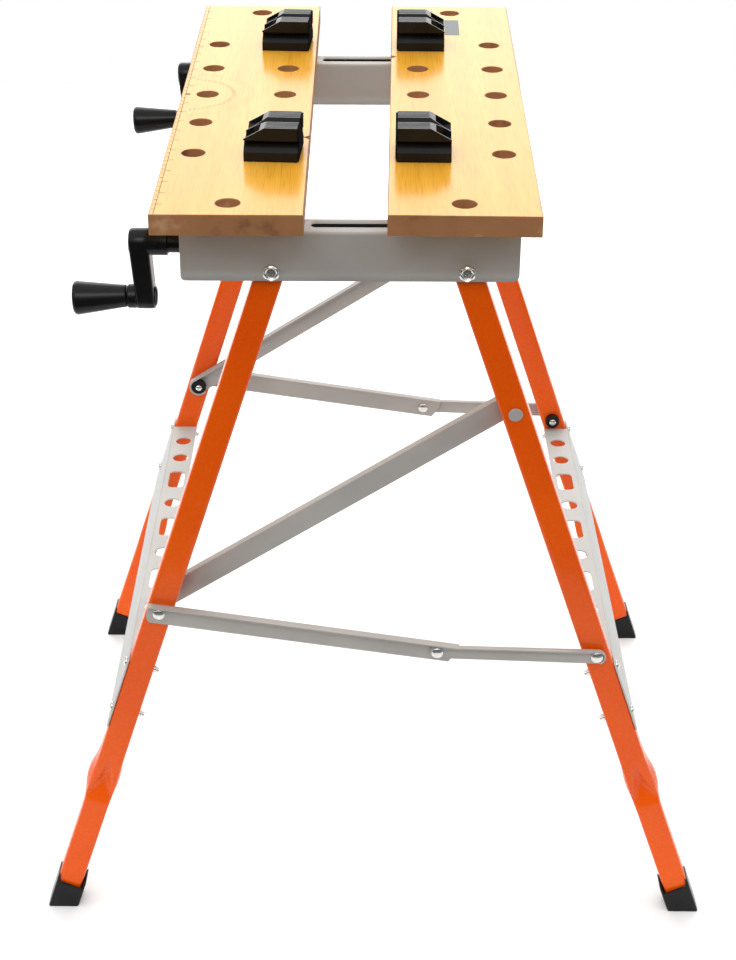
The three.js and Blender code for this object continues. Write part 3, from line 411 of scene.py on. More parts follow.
# %% Jaws
JAW_HALF_WIDE, JAW_HALF_LONG, JAW_THICK, TOP = 61.7, 302.5, 18.0, 770.0
FIXED_X, MOVING_X, RAIL_Y = -114.4, 77.0, 230.4
SKEW = math.radians(1.04)
HOLE_RADIUS, END_HOLE, OUTER_COLUMN, INNER_COLUMN, DOG_ROW = 10.0, 276.5, -37.3, 35.4, 160
ROWS = np.array([-DOG_ROW, -80, 0, 80, DOG_ROW])
NOTCH_Y, NOTCH_HALF, NOTCH_DEEP, EASED, UPRIGHT = -119.0, 4.5, 5.0, 0.7, 0.97
outline = np.array([
    [-JAW_HALF_WIDE, -JAW_HALF_LONG], [JAW_HALF_WIDE, -JAW_HALF_LONG],
    [JAW_HALF_WIDE, NOTCH_Y - NOTCH_HALF], [JAW_HALF_WIDE - NOTCH_DEEP, NOTCH_Y],
    [JAW_HALF_WIDE, NOTCH_Y + NOTCH_HALF], [JAW_HALF_WIDE, JAW_HALF_LONG], [-JAW_HALF_WIDE, JAW_HALF_LONG],
])
holes = [circle(0, y, HOLE_RADIUS) for y in (-END_HOLE, END_HOLE)]
holes += [circle(x, y, HOLE_RADIUS) for x in (OUTER_COLUMN, INNER_COLUMN) for y in ROWS]
board = plate(outline, holes, JAW_THICK, EASED)


def on_moving_jaw(x, y, z=0.0):
    """A place on the turned board, in the bench's frame: half a turn, then the skew."""
    dx, dy = -x, -y + RAIL_Y
    c, s = math.cos(-SKEW), math.sin(-SKEW)
    return np.array([MOVING_X + dx * c - dy * s, -RAIL_Y + dx * s + dy * c, z])


turn_u = on_moving_jaw(1, 0) - on_moving_jaw(0, 0)
turn_v = on_moving_jaw(0, 1) - on_moving_jaw(0, 0)
jaw_places = {
    "fixed_jaw": ("bench_top", [FIXED_X, 0, TOP - JAW_THICK], X_AXIS, Y_AXIS),
    "moving_jaw": ("moving_top", on_moving_jaw(0, 0, TOP - JAW_THICK), turn_u, turn_v),
}
for name, (body, *where) in jaw_places.items():
    jaw = make_piece(name + "_board", [carried(board, *where)], "lacquered_beech", body, name, sharp=14)
    edges = second_finish(jaw, "sealed_fibreboard", "normal", lambda normal: np.abs(normal[:, 2]) < UPRIGHT)
    print(name, len(jaw.data.polygons), "faces,", edges, "on edges and holes")

# %% [markdown]
# A printed scale runs along the outer edge of the fixed jaw: a line with centimetre ticks outside and inch
# ticks inside, a centre mark and three protractor arcs of short strokes. The moving jaw has a blank silver
# label. Each mark is a flat box that stands a few hundredths of a millimetre proud.

# %% Printed scale
LINE_X, LINE_LONG, LINE_WIDE = FIXED_X - JAW_HALF_WIDE + 4.0, 604.0, 0.5
TICK_WIDE, CM_TICK, CM_OFF, INCH_TICK, INCH_OFF, INCH = 0.75, 2.8, -1.4, 4.8, 2.45, 25.4
MARK_LONG, MARK_WIDE, STROKE_WIDE = 4.0, 3.5, 0.6
ARCS = ((45.0, 3.5), (59.0, 1.0), (63.0, 1.0))
INK_THICK, LABEL_THICK, LABEL_LONG, LABEL_WIDE, LABEL_PLACE = 0.06, 0.15, 54.8, 15.0, [86.3, 222.4]


def ink_boxes(places, length, width, direction, thick=INK_THICK):
    """Flat boxes at places on the top face, with length along a direction and width across it."""
    places = np.asarray(places, float)
    along = np.broadcast_to(direction, places.shape)
    across = xyz(-along[:, 1], along[:, 0])
    signs = np.array([[-1, -1], [1, -1], [1, 1], [-1, 1]]) / 2
    flat = places[:, None] + signs[:, :1] * (length * along[:, None])
    flat = flat + signs[:, 1:] * (width * across[:, None])
    layers = [xyz(flat[..., 0], flat[..., 1], TOP + lift) for lift in (-thick, thick)]
    box = np.array([[3, 2, 1, 0], [4, 5, 6, 7], [0, 1, 5, 4], [1, 2, 6, 5], [2, 3, 7, 6], [3, 0, 4, 7]])
    faces = (np.arange(len(places))[:, None, None] * 8 + box[None]).reshape(-1, 4)
    return np.concatenate(layers, axis=1).reshape(-1, 3), faces.tolist()


across_board, along_board = [1.0, 0.0], [0.0, 1.0]
cm_places = [[LINE_X + CM_OFF, y] for y in np.arange(-29, 30) * 10.0]
inch_places = [[LINE_X + INCH_OFF, y] for y in np.arange(-11, 12) * INCH]
turn = np.radians(np.arange(-80, 81, 5))
strokes = xyz(np.cos(turn), np.sin(turn))
ink = [
    ink_boxes([[LINE_X, 0.0]], LINE_LONG, LINE_WIDE, along_board),
    ink_boxes(cm_places, CM_TICK, TICK_WIDE, across_board),
    ink_boxes(inch_places, INCH_TICK, TICK_WIDE, across_board),
    ink_boxes([[LINE_X + MARK_LONG / 2, 0.0]], MARK_LONG, MARK_WIDE, across_board),
]
ink += [ink_boxes([LINE_X, 0.0] + strokes * radius, length, STROKE_WIDE, strokes) for radius, length in ARCS]
make_piece("printed_scale", ink, "brown_screen_ink", "bench_top", sharp=30)
label = ink_boxes([LABEL_PLACE], LABEL_LONG, LABEL_WIDE, turn_v[:2], LABEL_THICK)
make_piece("blank_label", [label], "silver_foil", "moving_top", sharp=30)
print(sum(len(shell[0]) for shell in ink) // 8, "printed marks and a blank label")

# %% [markdown]
# A bench dog is a moulded block: a base, a V-groove along each side for pipes, two ridges with a valley
# between them, fine flutes, a slope at the back with two hollow pockets, and worn teeth on the clamping
# face. The top is a height field z(x, y), carried round the sides as a closed section along x. The fixed
# jaw's dogs stand slightly turned, as in the photograph.

# %% Bench dogs
DOG_BACK, DOG_FACE, DOG_HALF, DOG_HIGH, DOG_EASED = -27.0, 19.0, 23.0, 30.0, 22.4
SLOPE_FOOT, SLOPE_LONG, VALLEY, LEAST_RIM = 20.0, 18.0, 24.0, 0.02
GROOVE_LOW, GROOVE_MID, GROOVE_HIGH, GROOVE_IN, GROOVE_LIP = 8.5, 15.7, 18.8, 15.5, 22.7
POCKET_FRONT, POCKET_SIDE, POCKET_WALL, STEEP = DOG_BACK + 13.5, 21.6, 0.9, 0.04
POCKET_FLOOR, POCKET_RISE, POCKET_STEPS = 16.6, 0.4, 46
FLUTE_PITCH, FLUTE_DEEP, FLUTE_HALF, FLUTE_START = 3.0, 0.7, 0.5, -8.0
FLUTE_MID, FLUTE_FROM, FLUTE_TO = 8.5, 7, 22
TOOTH_PITCH, TOOTH_DEEP, TOOTH_IN, TOOTH_OUT = 2.6, 1.7, 15.0, 22.4
SEAT, DOG_ASKEW = TOP + 0.3, math.radians(-3.2)


def dog_top(x):
    """Right half of the top: z = min(crown(x), valley + y), less the flutes and the pocket."""
    crown = SLOPE_FOOT + (DOG_HIGH - SLOPE_FOOT) * np.clip((x - DOG_BACK) / SLOPE_LONG, 0, 1)
    rim = np.maximum(crown - VALLEY, LEAST_RIM)[:, None]
    wall = rim + POCKET_WALL
    inner = wall + STEEP
    share = np.linspace(0, 1, POCKET_STEPS)
    edge = np.broadcast_to([POCKET_SIDE, DOG_EASED, DOG_HALF], (len(x), 3))
    y = np.hstack([rim / 2, rim, wall, inner + (POCKET_SIDE - STEEP - inner) * share, edge])
    off_flute = np.abs((y - FLUTE_MID + FLUTE_PITCH / 2) % FLUTE_PITCH - FLUTE_PITCH / 2)
    flutes = FLUTE_DEEP * np.clip(1 - off_flute / FLUTE_HALF, 0, 1) * (y > FLUTE_FROM) * (y < FLUTE_TO)
    z = np.minimum(crown[:, None], VALLEY + y) - flutes * (x > FLUTE_START)[:, None]
    hollow = np.zeros(y.shape, bool)
    hollow[x < POCKET_FRONT, 3:3 + POCKET_STEPS] = True
    floor = np.maximum(POCKET_FLOOR, GROOVE_MID + 1.0 + (y - GROOVE_IN) * POCKET_RISE)
    return y, np.where(hollow, floor, z), np.minimum(crown, VALLEY)[:, None]


def dog_shell():
    """Sections along x; each runs up one grooved side, across the top and down the other side."""
    x = np.concatenate([
        np.linspace(DOG_BACK, -19.8, 4), np.linspace(-18, -14.5, 3), [POCKET_FRONT - STEEP, POCKET_FRONT],
        np.linspace(-12, -9, 3), [FLUTE_START - STEEP, FLUTE_START + STEEP], np.linspace(-6, DOG_FACE, 6),
    ])
    half_y, half_z, middle_z = dog_top(x)
    top_y = np.hstack([-half_y[:, ::-1], np.zeros((len(x), 1)), half_y])
    top_z = np.hstack([half_z[:, ::-1], middle_z, half_z])
    top = xyz(x[:, None], top_y, top_z)
    side = np.array([[GROOVE_LIP, GROOVE_HIGH], [GROOVE_IN, GROOVE_MID + 0.3], [GROOVE_IN, GROOVE_MID],
                     [GROOVE_LIP, GROOVE_LOW + 0.1], [DOG_HALF, GROOVE_LOW - 0.3], [DOG_HALF, 0.0]])
    right = xyz(x[:, None], side[:, 0], side[:, 1])
    left = right[:, ::-1] * [1, -1, 1]
    return grid(np.concatenate([left, top, right], axis=1), cap=True)


def dog_teeth(sign):
    """Half of the toothed clamping face: x = face + depth * triangle wave of z, as wide as the section."""
    z = np.linspace(0.6, 29.2, 89)
    levels = [0, GROOVE_LOW, GROOVE_MID, GROOVE_HIGH, DOG_HIGH]
    outer = np.interp(z, levels, [TOOTH_OUT, TOOTH_OUT, TOOTH_IN, TOOTH_OUT - 0.2, TOOTH_OUT])
    inner = np.clip(z - VALLEY + 0.6, 0.05, 6.2)
    wave = np.abs((z / TOOTH_PITCH) % 1 - 0.5) * 2
    front = DOG_FACE + 0.1 + TOOTH_DEEP * wave
    back = DOG_FACE - 0.5
    corners = [(back, inner), (front, inner), (front, outer), (back, outer)]
    return grid(np.stack([xyz(x, sign * y, z) for x, y in corners], axis=1), cap=True)


peg = revolve([(0, -15), (8.7, -15), (9.7, -14), (9.7, 0.5), (0, 0.5)], [0, 0, 0], Z_AXIS, 32)
dog_parts = [dog_shell(), dog_teeth(1), dog_teeth(-1), peg]
askew_u = np.array([math.cos(DOG_ASKEW), math.sin(DOG_ASKEW), 0])
askew_v = np.array([-math.sin(DOG_ASKEW), math.cos(DOG_ASKEW), 0])
for end, sign in ENDS:
    fixed_spot = [FIXED_X + INNER_COLUMN, sign * DOG_ROW, SEAT]
    moving_spot = on_moving_jaw(INNER_COLUMN, -sign * DOG_ROW, SEAT)
    for jaw, spot, u, v in (("fixed", fixed_spot, askew_u, askew_v), ("moving", moving_spot, turn_u, turn_v)):
        shells = [carried(part, spot, u, v) for part in dog_parts]
        rider = f"{end}_{jaw}_dog"
        dog = make_piece(f"{end}_{jaw}_bench_dog", shells, BLACK, rider, rider, sharp=28)
        second_finish(dog, "worn_black_plastic", "center",
                      lambda centre: (centre * MM - [shift_x, 0, 0] - spot) @ u > DOG_FACE)
print("bench dogs done")

# %% [markdown]
# A rail is sheet steel folded into an inverted channel, with rounded lower corners at both ends and a slot
# in the top for the sliding nut. It is one folded section carried along X, whose lower edge rises near the
# ends, with the slot's cells left out. Solidify gives the sheet its thickness inwards, with near-black
# painted shade on the inside and in the slot.

# %% Rails
RAIL_LEFT, RAIL_RIGHT, RAIL_TOP, RAIL_BOTTOM, RAIL_SHEET = -158.2, 125.8, 732.0, 688.0, 1.5
RAIL_OUT, RAIL_HALF, RAIL_BEND, LEFT_CORNER, RIGHT_CORNER = 246.2, 15.8, 2.2, 4.0, 6.0
SLOT_START, SLOT_STOP, SLOT_HALF = -48.8, 118.0, 4.0


def quarter(radius, steps):
    """Distances from the start of a quarter round at even steps of its turn."""
    return radius * (1 - np.cos(np.linspace(0, np.pi / 2, steps)))


def rail_shell(sign):
    """Section points by stations along x: walls scaled to the lower edge, top split at the slot."""
    x = np.unique(np.round(np.concatenate([
        RAIL_LEFT + quarter(LEFT_CORNER, 7), RAIL_RIGHT - quarter(RIGHT_CORNER, 7),
        np.linspace(RAIL_LEFT + 10, RAIL_RIGHT - 10, 30),
        SLOT_START + quarter(SLOT_HALF, 6), SLOT_STOP - quarter(SLOT_HALF, 6),
    ]), 4))
    corner = np.where(x < 0, LEFT_CORNER, RIGHT_CORNER)
    reach = np.minimum(x - RAIL_LEFT, RAIL_RIGHT - x).clip(0, corner)
    lower = RAIL_BOTTOM + corner - np.sqrt(corner**2 - (corner - reach) ** 2)
    into = np.minimum(x - SLOT_START, SLOT_STOP - x).clip(0, SLOT_HALF)
    in_slot = (x >= SLOT_START) & (x <= SLOT_STOP)
    mouth = np.where(in_slot, np.sqrt(SLOT_HALF**2 - (SLOT_HALF - into) ** 2), SLOT_HALF)
    wall_top = RAIL_TOP - RAIL_BEND
    lines = [(-RAIL_HALF, wall_top - level * (wall_top - lower)) for level in (1, 0.75, 0.5, 0.25)]
    lines += arc(RAIL_BEND - RAIL_HALF, wall_top, RAIL_BEND, 180, 90, 5).tolist()
    lines.append((-mouth, RAIL_TOP))
    left = np.stack([xyz(x, y, z) for y, z in lines], axis=1)
    points = np.concatenate([left, left[:, ::-1] * [1, -1, 1]], axis=1)
    points[:, :, 1] += sign * (RAIL_OUT - RAIL_HALF)
    columns = points.shape[1]
    flat, faces = grid(points, closed=False)
    centre = (x[:-1] + x[1:]) / 2
    keep = np.ones((len(x) - 1, columns - 1), bool)
    keep[(centre > SLOT_START) & (centre < SLOT_STOP), columns // 2 - 1] = False
    return flat, [face for face, stays in zip(faces, keep.ravel()) if stays]


for end, sign in ENDS:
    rail = make_piece(f"{end}_rail_channel", [rail_shell(sign)], GREY, "bench_top", f"{end}_rail")
    # The inner shell and the rims get the near-black painted shade.
    rail.data.materials.append(materials["painted_shade_inside"])
    wall = rail.modifiers.new("sheet", "SOLIDIFY")
    wall.thickness = RAIL_SHEET / MM
    wall.material_offset = 1
    wall.material_offset_rim = 1
    wall.offset = -1
    wall.use_even_offset = True
print("rails done")

# %% [markdown]
# Legs are square-ish steel tube with soft corners, rounded over at the top and bent slightly outwards near
# the foot. The press has pushed the outer wall in as a pointed dent and made the sides bulge; the bulge to
# the outside shows on the near legs only. One closed section runs down the leg.

# %% Legs
PIVOT_Z, PIVOT_X = 696.4, 82.0
SPLAY = {"left": math.radians(17.6), "right": math.radians(18.8)}
LEG_HALF_WIDE, LEG_HALF_DEEP, LEG_MID, LEG_END, LEG_ROUND = 12.15, 10.0, 231.5, 9.0, 2.6
KICK_Z, KICK, TOE_OUT = 152.0, 5.0, 1.5
DENT, DENT_TOP, DENT_FOOT, DENT_HALF = 8.0, 34.0, 26.0, 11.5
DENT_SPREAD, DENT_TOP_RUN, DENT_FOOT_RUN = 42.0, 34, 30
BULGE_OUT, FAR_BULGE_OUT, BULGE_IN, BULGE_RUN = 4.6, 0.6, 2.6, 20.0


def tube_outline(half_u, half_v, radius, between=8):
    """A rounded rectangle whose straight sides are split too, so that they can be pressed into shape."""
    corners = rounded_outline(half_u, half_v, radius).reshape(4, -1, 2)
    share = np.linspace(0, 1, between + 2)[1:-1, None]
    onward = zip(corners[:, -1], np.roll(corners[:, 0], -1, axis=0))
    sides = [last + (first - last) * share for last, first in onward]
    return np.vstack([part for corner, flat in zip(corners, sides) for part in (corner, flat)])


def leg_point(side, distance):
    """The point of a leg's centre line at a distance below its pivot, as (x, z)."""
    out, down = distance * math.sin(SPLAY[side]), distance * math.cos(SPLAY[side])
    return np.array([SIDE[side] * (PIVOT_X + out), PIVOT_Z - down])


def leg_at(side, height):
    """The point of a leg's centre line at a height, as (x, z)."""
    return leg_point(side, (PIVOT_Z - height) / math.cos(SPLAY[side]))


def leg_shell(side, sign):
    """Sections down the leg; at the bend the outer wall is pressed in to a point and both sides bulge."""
    angle = SPLAY[side]
    stop = (PIVOT_Z - LEG_END) / math.cos(angle)
    bend = (PIVOT_Z - KICK_Z) / math.cos(angle)
    floor = PIVOT_Z / math.cos(angle)
    crown = -LEG_HALF_WIDE * np.sin(np.radians([84, 70, 56, 42, 28, 14]))
    s = np.concatenate([crown, np.linspace(0, bend - 50, 12), np.linspace(bend - 46, bend + 46, 47),
                        np.linspace(bend + 54, stop, 5)])[:, None]
    u, v = tube_outline(LEG_HALF_WIDE, LEG_HALF_DEEP, LEG_ROUND).T[:, None]
    share = np.abs(u) / LEG_HALF_WIDE
    outer_wall = np.clip((v * sign - LEG_HALF_DEEP + LEG_ROUND) / LEG_ROUND, 0, 1)
    dent_start = bend - DENT_TOP + DENT_SPREAD * np.abs(u) / DENT_HALF
    deep = np.minimum((bend + DENT_FOOT - s) / DENT_FOOT_RUN, (s - dent_start) / DENT_TOP_RUN)
    dent = DENT * np.clip(deep, 0, 1) * outer_wall
    bulge_out = BULGE_OUT if sign < 0 else FAR_BULGE_OUT
    swell = np.where(u * SIDE[side] > 0, bulge_out, BULGE_IN) * np.exp(-((s - bend) / BULGE_RUN) ** 2)
    below = np.clip((s - bend) / (floor - bend), 0, 1)
    narrow = np.where(s < 0, np.sqrt(np.maximum(0, 1 - (s / LEG_HALF_WIDE) ** 2)), 1.0)
    u = u * narrow + np.sign(u) * swell * share**2 * np.clip(1.0 - v * sign / LEG_HALF_DEEP, 0, 1)
    v = v + sign * (KICK * below - dent)
    x = SIDE[side] * (PIVOT_X + s * math.sin(angle) + TOE_OUT * below) + u * math.cos(angle)
    z = PIVOT_Z - s * math.cos(angle) + SIDE[side] * u * math.sin(angle)
    return grid(xyz(x, v + sign * LEG_MID, z), cap=True)


for side, end, sign in LEGS:
    tube = [leg_shell(side, sign)]
    make_piece(f"{end}_{side}_leg_tube", tube, "orange_enamel", f"{side}_legs", f"{end}_{side}_leg", sharp=60)
print("legs done")

# %% [markdown]
# Feet are moulded caps over the tube ends: tall cheeks at the sides, a lower rim at the front and back, and
# a sole with small teeth. One surface runs up outside, over the rim and down inside.

# %% Feet
FACE_RIM, CHEEK_RIM, CHEEK_START, CHEEK_RUN = 27.5, 33.5, 14.3, 0.6
SOLE_PITCH, SOLE_DEEP, SOLE_EASED = 4.6, 0.55, 1.6
CAP_WIDE, CAP_DEEP, CAP_ROUND, BORE_WIDE, BORE_DEEP, SPLITS = 14.45, 12.3, 1.8, 12.4, 10.6, 18


def foot_shell(side, sign):
    """Loops round the leg at rising heights; the rim is square to the leg and higher at the cheeks."""
    slant = math.cos(SPLAY[side])
    lean = SIDE[side] * math.tan(SPLAY[side])
    outer = tube_outline(CAP_WIDE / slant, CAP_DEEP, CAP_ROUND, SPLITS)
    inner = tube_outline(BORE_WIDE / slant, BORE_DEEP, LEG_ROUND, SPLITS)
    cheek = np.clip((np.abs(outer[:, 0]) - CHEEK_START) / CHEEK_RUN, 0, 1)
    rim = FACE_RIM + (CHEEK_RIM - FACE_RIM) * cheek + lean * outer[:, 0]
    scallop = SOLE_DEEP - SOLE_DEEP * np.cos(2 * np.pi * outer[:, 0] / SOLE_PITCH)
    base_x = leg_at(side, 0)[0]
    mid_y = sign * (LEG_MID + KICK)
    loops = [(outer, 0, scallop, 0.985), (outer, 0, SOLE_EASED, 1.0), (outer, 0.5, 0, 1.0),
             (outer, 0.9, 0, 1.0), (outer, 1, -0.8, 1.0), (outer, 1, 0, 0.975), (inner, 1, 0, 1.0),
             (inner, 0.4, 0, 1.0)]
    rows = []
    for loop, fraction, lift, squeeze in loops:
        z = rim * fraction + lift
        rows.append(xyz(base_x - lean * z + loop[:, 0] * squeeze, mid_y + loop[:, 1] * squeeze, z))
    return grid(np.stack(rows), cap=True)


for side, end, sign in LEGS:
    cap = [foot_shell(side, sign)]
    make_piece(f"{end}_{side}_foot_cap", cap, BLACK, f"{side}_legs", f"{end}_{side}_foot")
print("feet done")

# %% [markdown]
# A step ties the two legs of a frame: a level shelf with holes for tools, folded down into a web that is
# bolted to the legs. Both are plates with rounded edges that meet along the fold.

# %% Steps
STEP_Z, STEP_SHEET, STEP_WEB, STEP_CUT, STEP_EASED = 295.0, 1.5, 82.0, 3, 0.3
LEG_OUT, SHELF_END, SHELF_OVER, TOOL_ROUND = 241.5, 221.2, 1.0, 5.0
ROUND_TOOLS, TOOL_RADIUS = (-187, -148, -49.5, 49.5, 148, 187), 8.5
SLOT_TOOLS, TOOL_SLOT_HALF = (-98.5, 0.5, 99.5), 17.5
tool_holes = [circle(0, y, TOOL_RADIUS) for y in ROUND_TOOLS]
tool_holes += [rounded_outline(TOOL_RADIUS, TOOL_SLOT_HALF, TOOL_ROUND) + [0, y] for y in SLOT_TOOLS]
web_outline = [[0, -LEG_OUT], [STEP_WEB - STEP_CUT, -LEG_OUT], [STEP_WEB, -LEG_OUT + STEP_CUT],
               [STEP_WEB, LEG_OUT - STEP_CUT], [STEP_WEB - STEP_CUT, LEG_OUT], [0, LEG_OUT]]
web = plate(web_outline, [], STEP_SHEET, STEP_EASED)


def outwards(side):
    """The direction square to a leg, away from the bench and upwards."""
    return np.array([SIDE[side] * math.cos(SPLAY[side]), 0, math.sin(SPLAY[side])])


for side in SIDE:
    angle = SPLAY[side]
    level = LEG_HALF_WIDE / math.cos(angle)
    x_leg = leg_at(side, STEP_Z)[0]
    edge = level + SHELF_OVER
    outline = [[-level, -SHELF_END], [edge, -SHELF_END], [edge, SHELF_END], [-level, SHELF_END]]
    shelf = plate(outline, tool_holes, STEP_SHEET, STEP_EASED)
    shelf = carried(shelf, [x_leg, 0, STEP_Z - STEP_SHEET], [SIDE[side], 0, 0], Y_AXIS)
    down = [SIDE[side] * math.sin(angle), 0, -math.cos(angle)]
    fold = [x_leg + SIDE[side] * (level + STEP_EASED), 0, STEP_Z]
    make_piece(f"{side}_tool_step", [shelf, carried(web, fold, down, Y_AXIS, outwards(side))],
               "pale_powder_coat", f"{side}_legs", f"{side}_step", sharp=20)
print("steps done")

# %% [markdown]
# Diagonals and brace links are pressed strips: a flat web and a flange along the top edge, which follows
# some round ends as a rim. The web is a plate; the flange is a thin rectangle carried along a path over the
# web's edge.

# %% Pressed strips
LEFT_PIVOT = leg_point("left", 363.6)
DIAGONAL_TOP = leg_point("right", 144.4)
RIGHT_PIVOT = leg_point("right", 412.0)
BRACE_JOINT = np.array([66.0, 310.5])
STRIP_EASED, DIAGONAL_MID, DIAGONAL_HALF, INNER_TOP, OUTER_TOP = 0.25, 0.8, 10.2, 10.2, 7.6
DIAGONAL_Y, INNER_Y = (219.4, 221.2, 212.4), (241.9, 243.4, 249.6)
OUTER_Y = (243.8, 245.3, 245.3 + np.concatenate([np.full(3, 3.6), np.linspace(2.8, 1.6, 18)]))


def strip_shells(start, stop, outline, path, back_y, web_y, lip_y):
    """Web between two levels of y and flange out to a third; u runs along the strip and v across it."""
    outline, path = np.vstack(outline), np.vstack(path)
    along = unit(stop - start)
    across = np.array([-along[1], along[0]])
    thick = abs(web_y - back_y)
    web = carried(plate(outline, [], thick, STRIP_EASED), [start[0], min(back_y, web_y), start[1]],
                  [along[0], 0, along[1]], [across[0], 0, across[1]], Y_AXIS)
    step = np.gradient(path, axis=0)
    step /= np.linalg.norm(step, axis=1)[:, None]
    wall_in = path + xyz(step[:, 1], -step[:, 0]) * thick
    root = (back_y + web_y) / 2
    rows = []
    for line, y in ((path, root), (path, lip_y), (wall_in, lip_y), (wall_in, root)):
        flat = start + line[:, :1] * along + line[:, 1:] * across
        rows.append(xyz(flat[:, 0], y, flat[:, 1]))
    return [web, grid(np.stack(rows, axis=1), cap=True)]


diagonal_long = np.linalg.norm(DIAGONAL_TOP - LEFT_PIVOT)
inner_long = np.linalg.norm(BRACE_JOINT - LEFT_PIVOT)
outer_long = np.linalg.norm(RIGHT_PIVOT - BRACE_JOINT)
diagonal_end = (DIAGONAL_MID, DIAGONAL_HALF)
diagonal_outline = [arc(diagonal_long, *diagonal_end, -90, 90, 14), arc(0, *diagonal_end, 90, 270, 14)]
diagonal_path = [arc(0, *diagonal_end, 290, 90, 26), [[diagonal_long / 2, DIAGONAL_MID + DIAGONAL_HALF]],
                 arc(diagonal_long, *diagonal_end, 90, 0, 12)]
inner_corner = (-8.2, INNER_TOP - 3, 3)
inner_outline = [[[inner_long + 12, -9.8], [inner_long + 19, 3], [inner_long + 19, INNER_TOP]],
                 arc(*inner_corner, 90, 180, 6), [[-11.2, -6.5], [-8, -10.6]]]
inner_path = [arc(*inner_corner, 180, 90, 7), [[inner_long / 2, INNER_TOP], [inner_long + 19, INNER_TOP]]]
outer_end = (outer_long, 0.2, 8.0)
outer_outline = [arc(*outer_end, -70, 75, 16), arc(0, 0.6, 7.0, 90, 270, 14)]
outer_path = [[[5, OUTER_TOP], [outer_long / 2, OUTER_TOP], [outer_long - 9, OUTER_TOP]],
              arc(*outer_end, 95, -60, 18)]
strips = [
    ("diagonal", "diagonal_strip", LEFT_PIVOT, DIAGONAL_TOP, diagonal_outline, diagonal_path, DIAGONAL_Y),
    ("inner_link", "inner_brace_link", LEFT_PIVOT, BRACE_JOINT, inner_outline, inner_path, INNER_Y),
    ("outer_link", "outer_brace_link", BRACE_JOINT, RIGHT_PIVOT, outer_outline, outer_path, OUTER_Y),
]
for end, sign in ENDS:
    for node, name, *shape, levels in strips:
        shells = strip_shells(*shape, *(sign * np.asarray(level) for level in levels))
        make_piece(f"{end}_{name}", shells, GREY, f"{node}s", f"{end}_{node}", sharp=24)
print("strips done, lengths", np.round([diagonal_long, inner_long, outer_long], 1).tolist())

# %% [markdown]
# Rivets have low domed heads, turned from a quarter-round profile, and the bushes are turned rings. The
# pins in the right bushes show only as small heads, and the tops of the diagonals have flat painted caps.

# %% Rivets and bushes
EDGE, SINK, SHANK, HEAD, HEAD_HIGH, TIP = 0.4, 0.5, 3.0, 5.7, 2.4, 3.6
LEFT_SEATS, JOINT_SEATS, RIGHT_HEAD, RIGHT_SHANK = (243.7, 212.8), (245.6, 241.6), 6.0, (241.95, 246)
LEFT_BUSH, RIGHT_BUSH, BUSH_PIN = (8.2, 3.3, 219.1), (8.0, 2.0, 221.2), (3.7, 1.8, 215.0)
CAP_SHANK = (221.5, 242)
CAP_PROFILE = [(0, 241.8), (6.3, 241.8), (6.3, 242.6), (5.7, 243.2), (0, 243.3)]


def dome(radius, height, start, sign, steps=8):
    """Profile of a domed head: a flat seat, a short edge and an elliptical cap."""
    t = np.linspace(0, np.pi / 2, steps)
    cap = xyz(radius * np.cos(t), start + sign * (EDGE + (height - EDGE) * np.sin(t)))
    return np.vstack([[(0, start), (radius, start)], cap])


def turned_pin(origin, axis, outer_seat, inner_seat, inner_head):
    """Two domed heads and the shank between them; seats are distances from the bench's middle."""
    return [
        revolve(dome(HEAD, HEAD_HIGH, outer_seat, 1), origin, axis, 36),
        rod(origin, axis, SHANK, inner_seat - SINK, outer_seat + SINK),
        revolve(dome(inner_head, HEAD_HIGH, inner_seat, -1), origin, axis, 36),
    ]


def bush(origin, axis, outer, inner, seat, length=6.0):
    """A ring with eased edges that stands inwards from its seat."""
    tip = seat - length
    profile = [(inner, seat), (outer, seat), (outer, tip + 0.8), (outer - 0.8, tip), (inner + 0.6, tip),
               (inner, tip + 0.6), (inner, seat)]
    return revolve(profile, origin, axis)


left_axis, joint_axis, right_axis, cap_axis = [
    [point[0], 0, point[1]] for point in (LEFT_PIVOT, BRACE_JOINT, RIGHT_PIVOT, DIAGONAL_TOP)
]
for end, sign in ENDS:
    axis = [0, sign, 0]
    left_pin = turned_pin(left_axis, axis, *LEFT_SEATS, TIP)
    joint_pin = turned_pin(joint_axis, axis, *JOINT_SEATS, HEAD)
    right_head = revolve(dome(RIGHT_HEAD, HEAD_HIGH, JOINT_SEATS[0], 1), right_axis, axis, 36)
    right_pin = [right_head, rod(right_axis, axis, SHANK, *RIGHT_SHANK)]
    left_bush, right_bush = bush(left_axis, axis, *LEFT_BUSH), bush(right_axis, axis, *RIGHT_BUSH)
    bush_pin = [revolve(dome(*BUSH_PIN, -1), right_axis, axis, 32)]
    cap = [revolve(CAP_PROFILE, cap_axis, axis, 36), rod(cap_axis, axis, SHANK, *CAP_SHANK)]
    made = [
        ("left_pivot_pin", left_pin, ZINC, "left_legs", "left_pivot_rivet"),
        ("brace_joint_pin", joint_pin, ZINC, "inner_links", "brace_joint_rivet"),
        ("right_pivot_pin", right_pin, ZINC, "outer_links", "right_pivot_rivet"),
        ("left_bush_ring", [left_bush], BLACK, "left_legs", "left_bush"),
        ("right_bush_ring", [right_bush], BLACK, "right_legs", "right_bush"),
    ]
    for name, shells, finish, body, node in made:
        make_piece(f"{end}_{name}", shells, finish, body, f"{end}_{node}")
    make_piece(f"{end}_right_bush_pin", bush_pin, ZINC, "right_legs")
    make_piece(f"{end}_diagonal_cap", cap, GREY, "right_legs", f"{end}_diagonal_cap_rivet")
print("rivets and bushes done")

# %% [markdown]
# The legs hang on hexagon bolts with rounded corners and a cross recess. The head is a polar surface,
# because its outline follows the hexagon while a raised rim rings a dished face, with the cross pressed
# into it. The steps' bolts have domed heads outside and plain nuts inside.

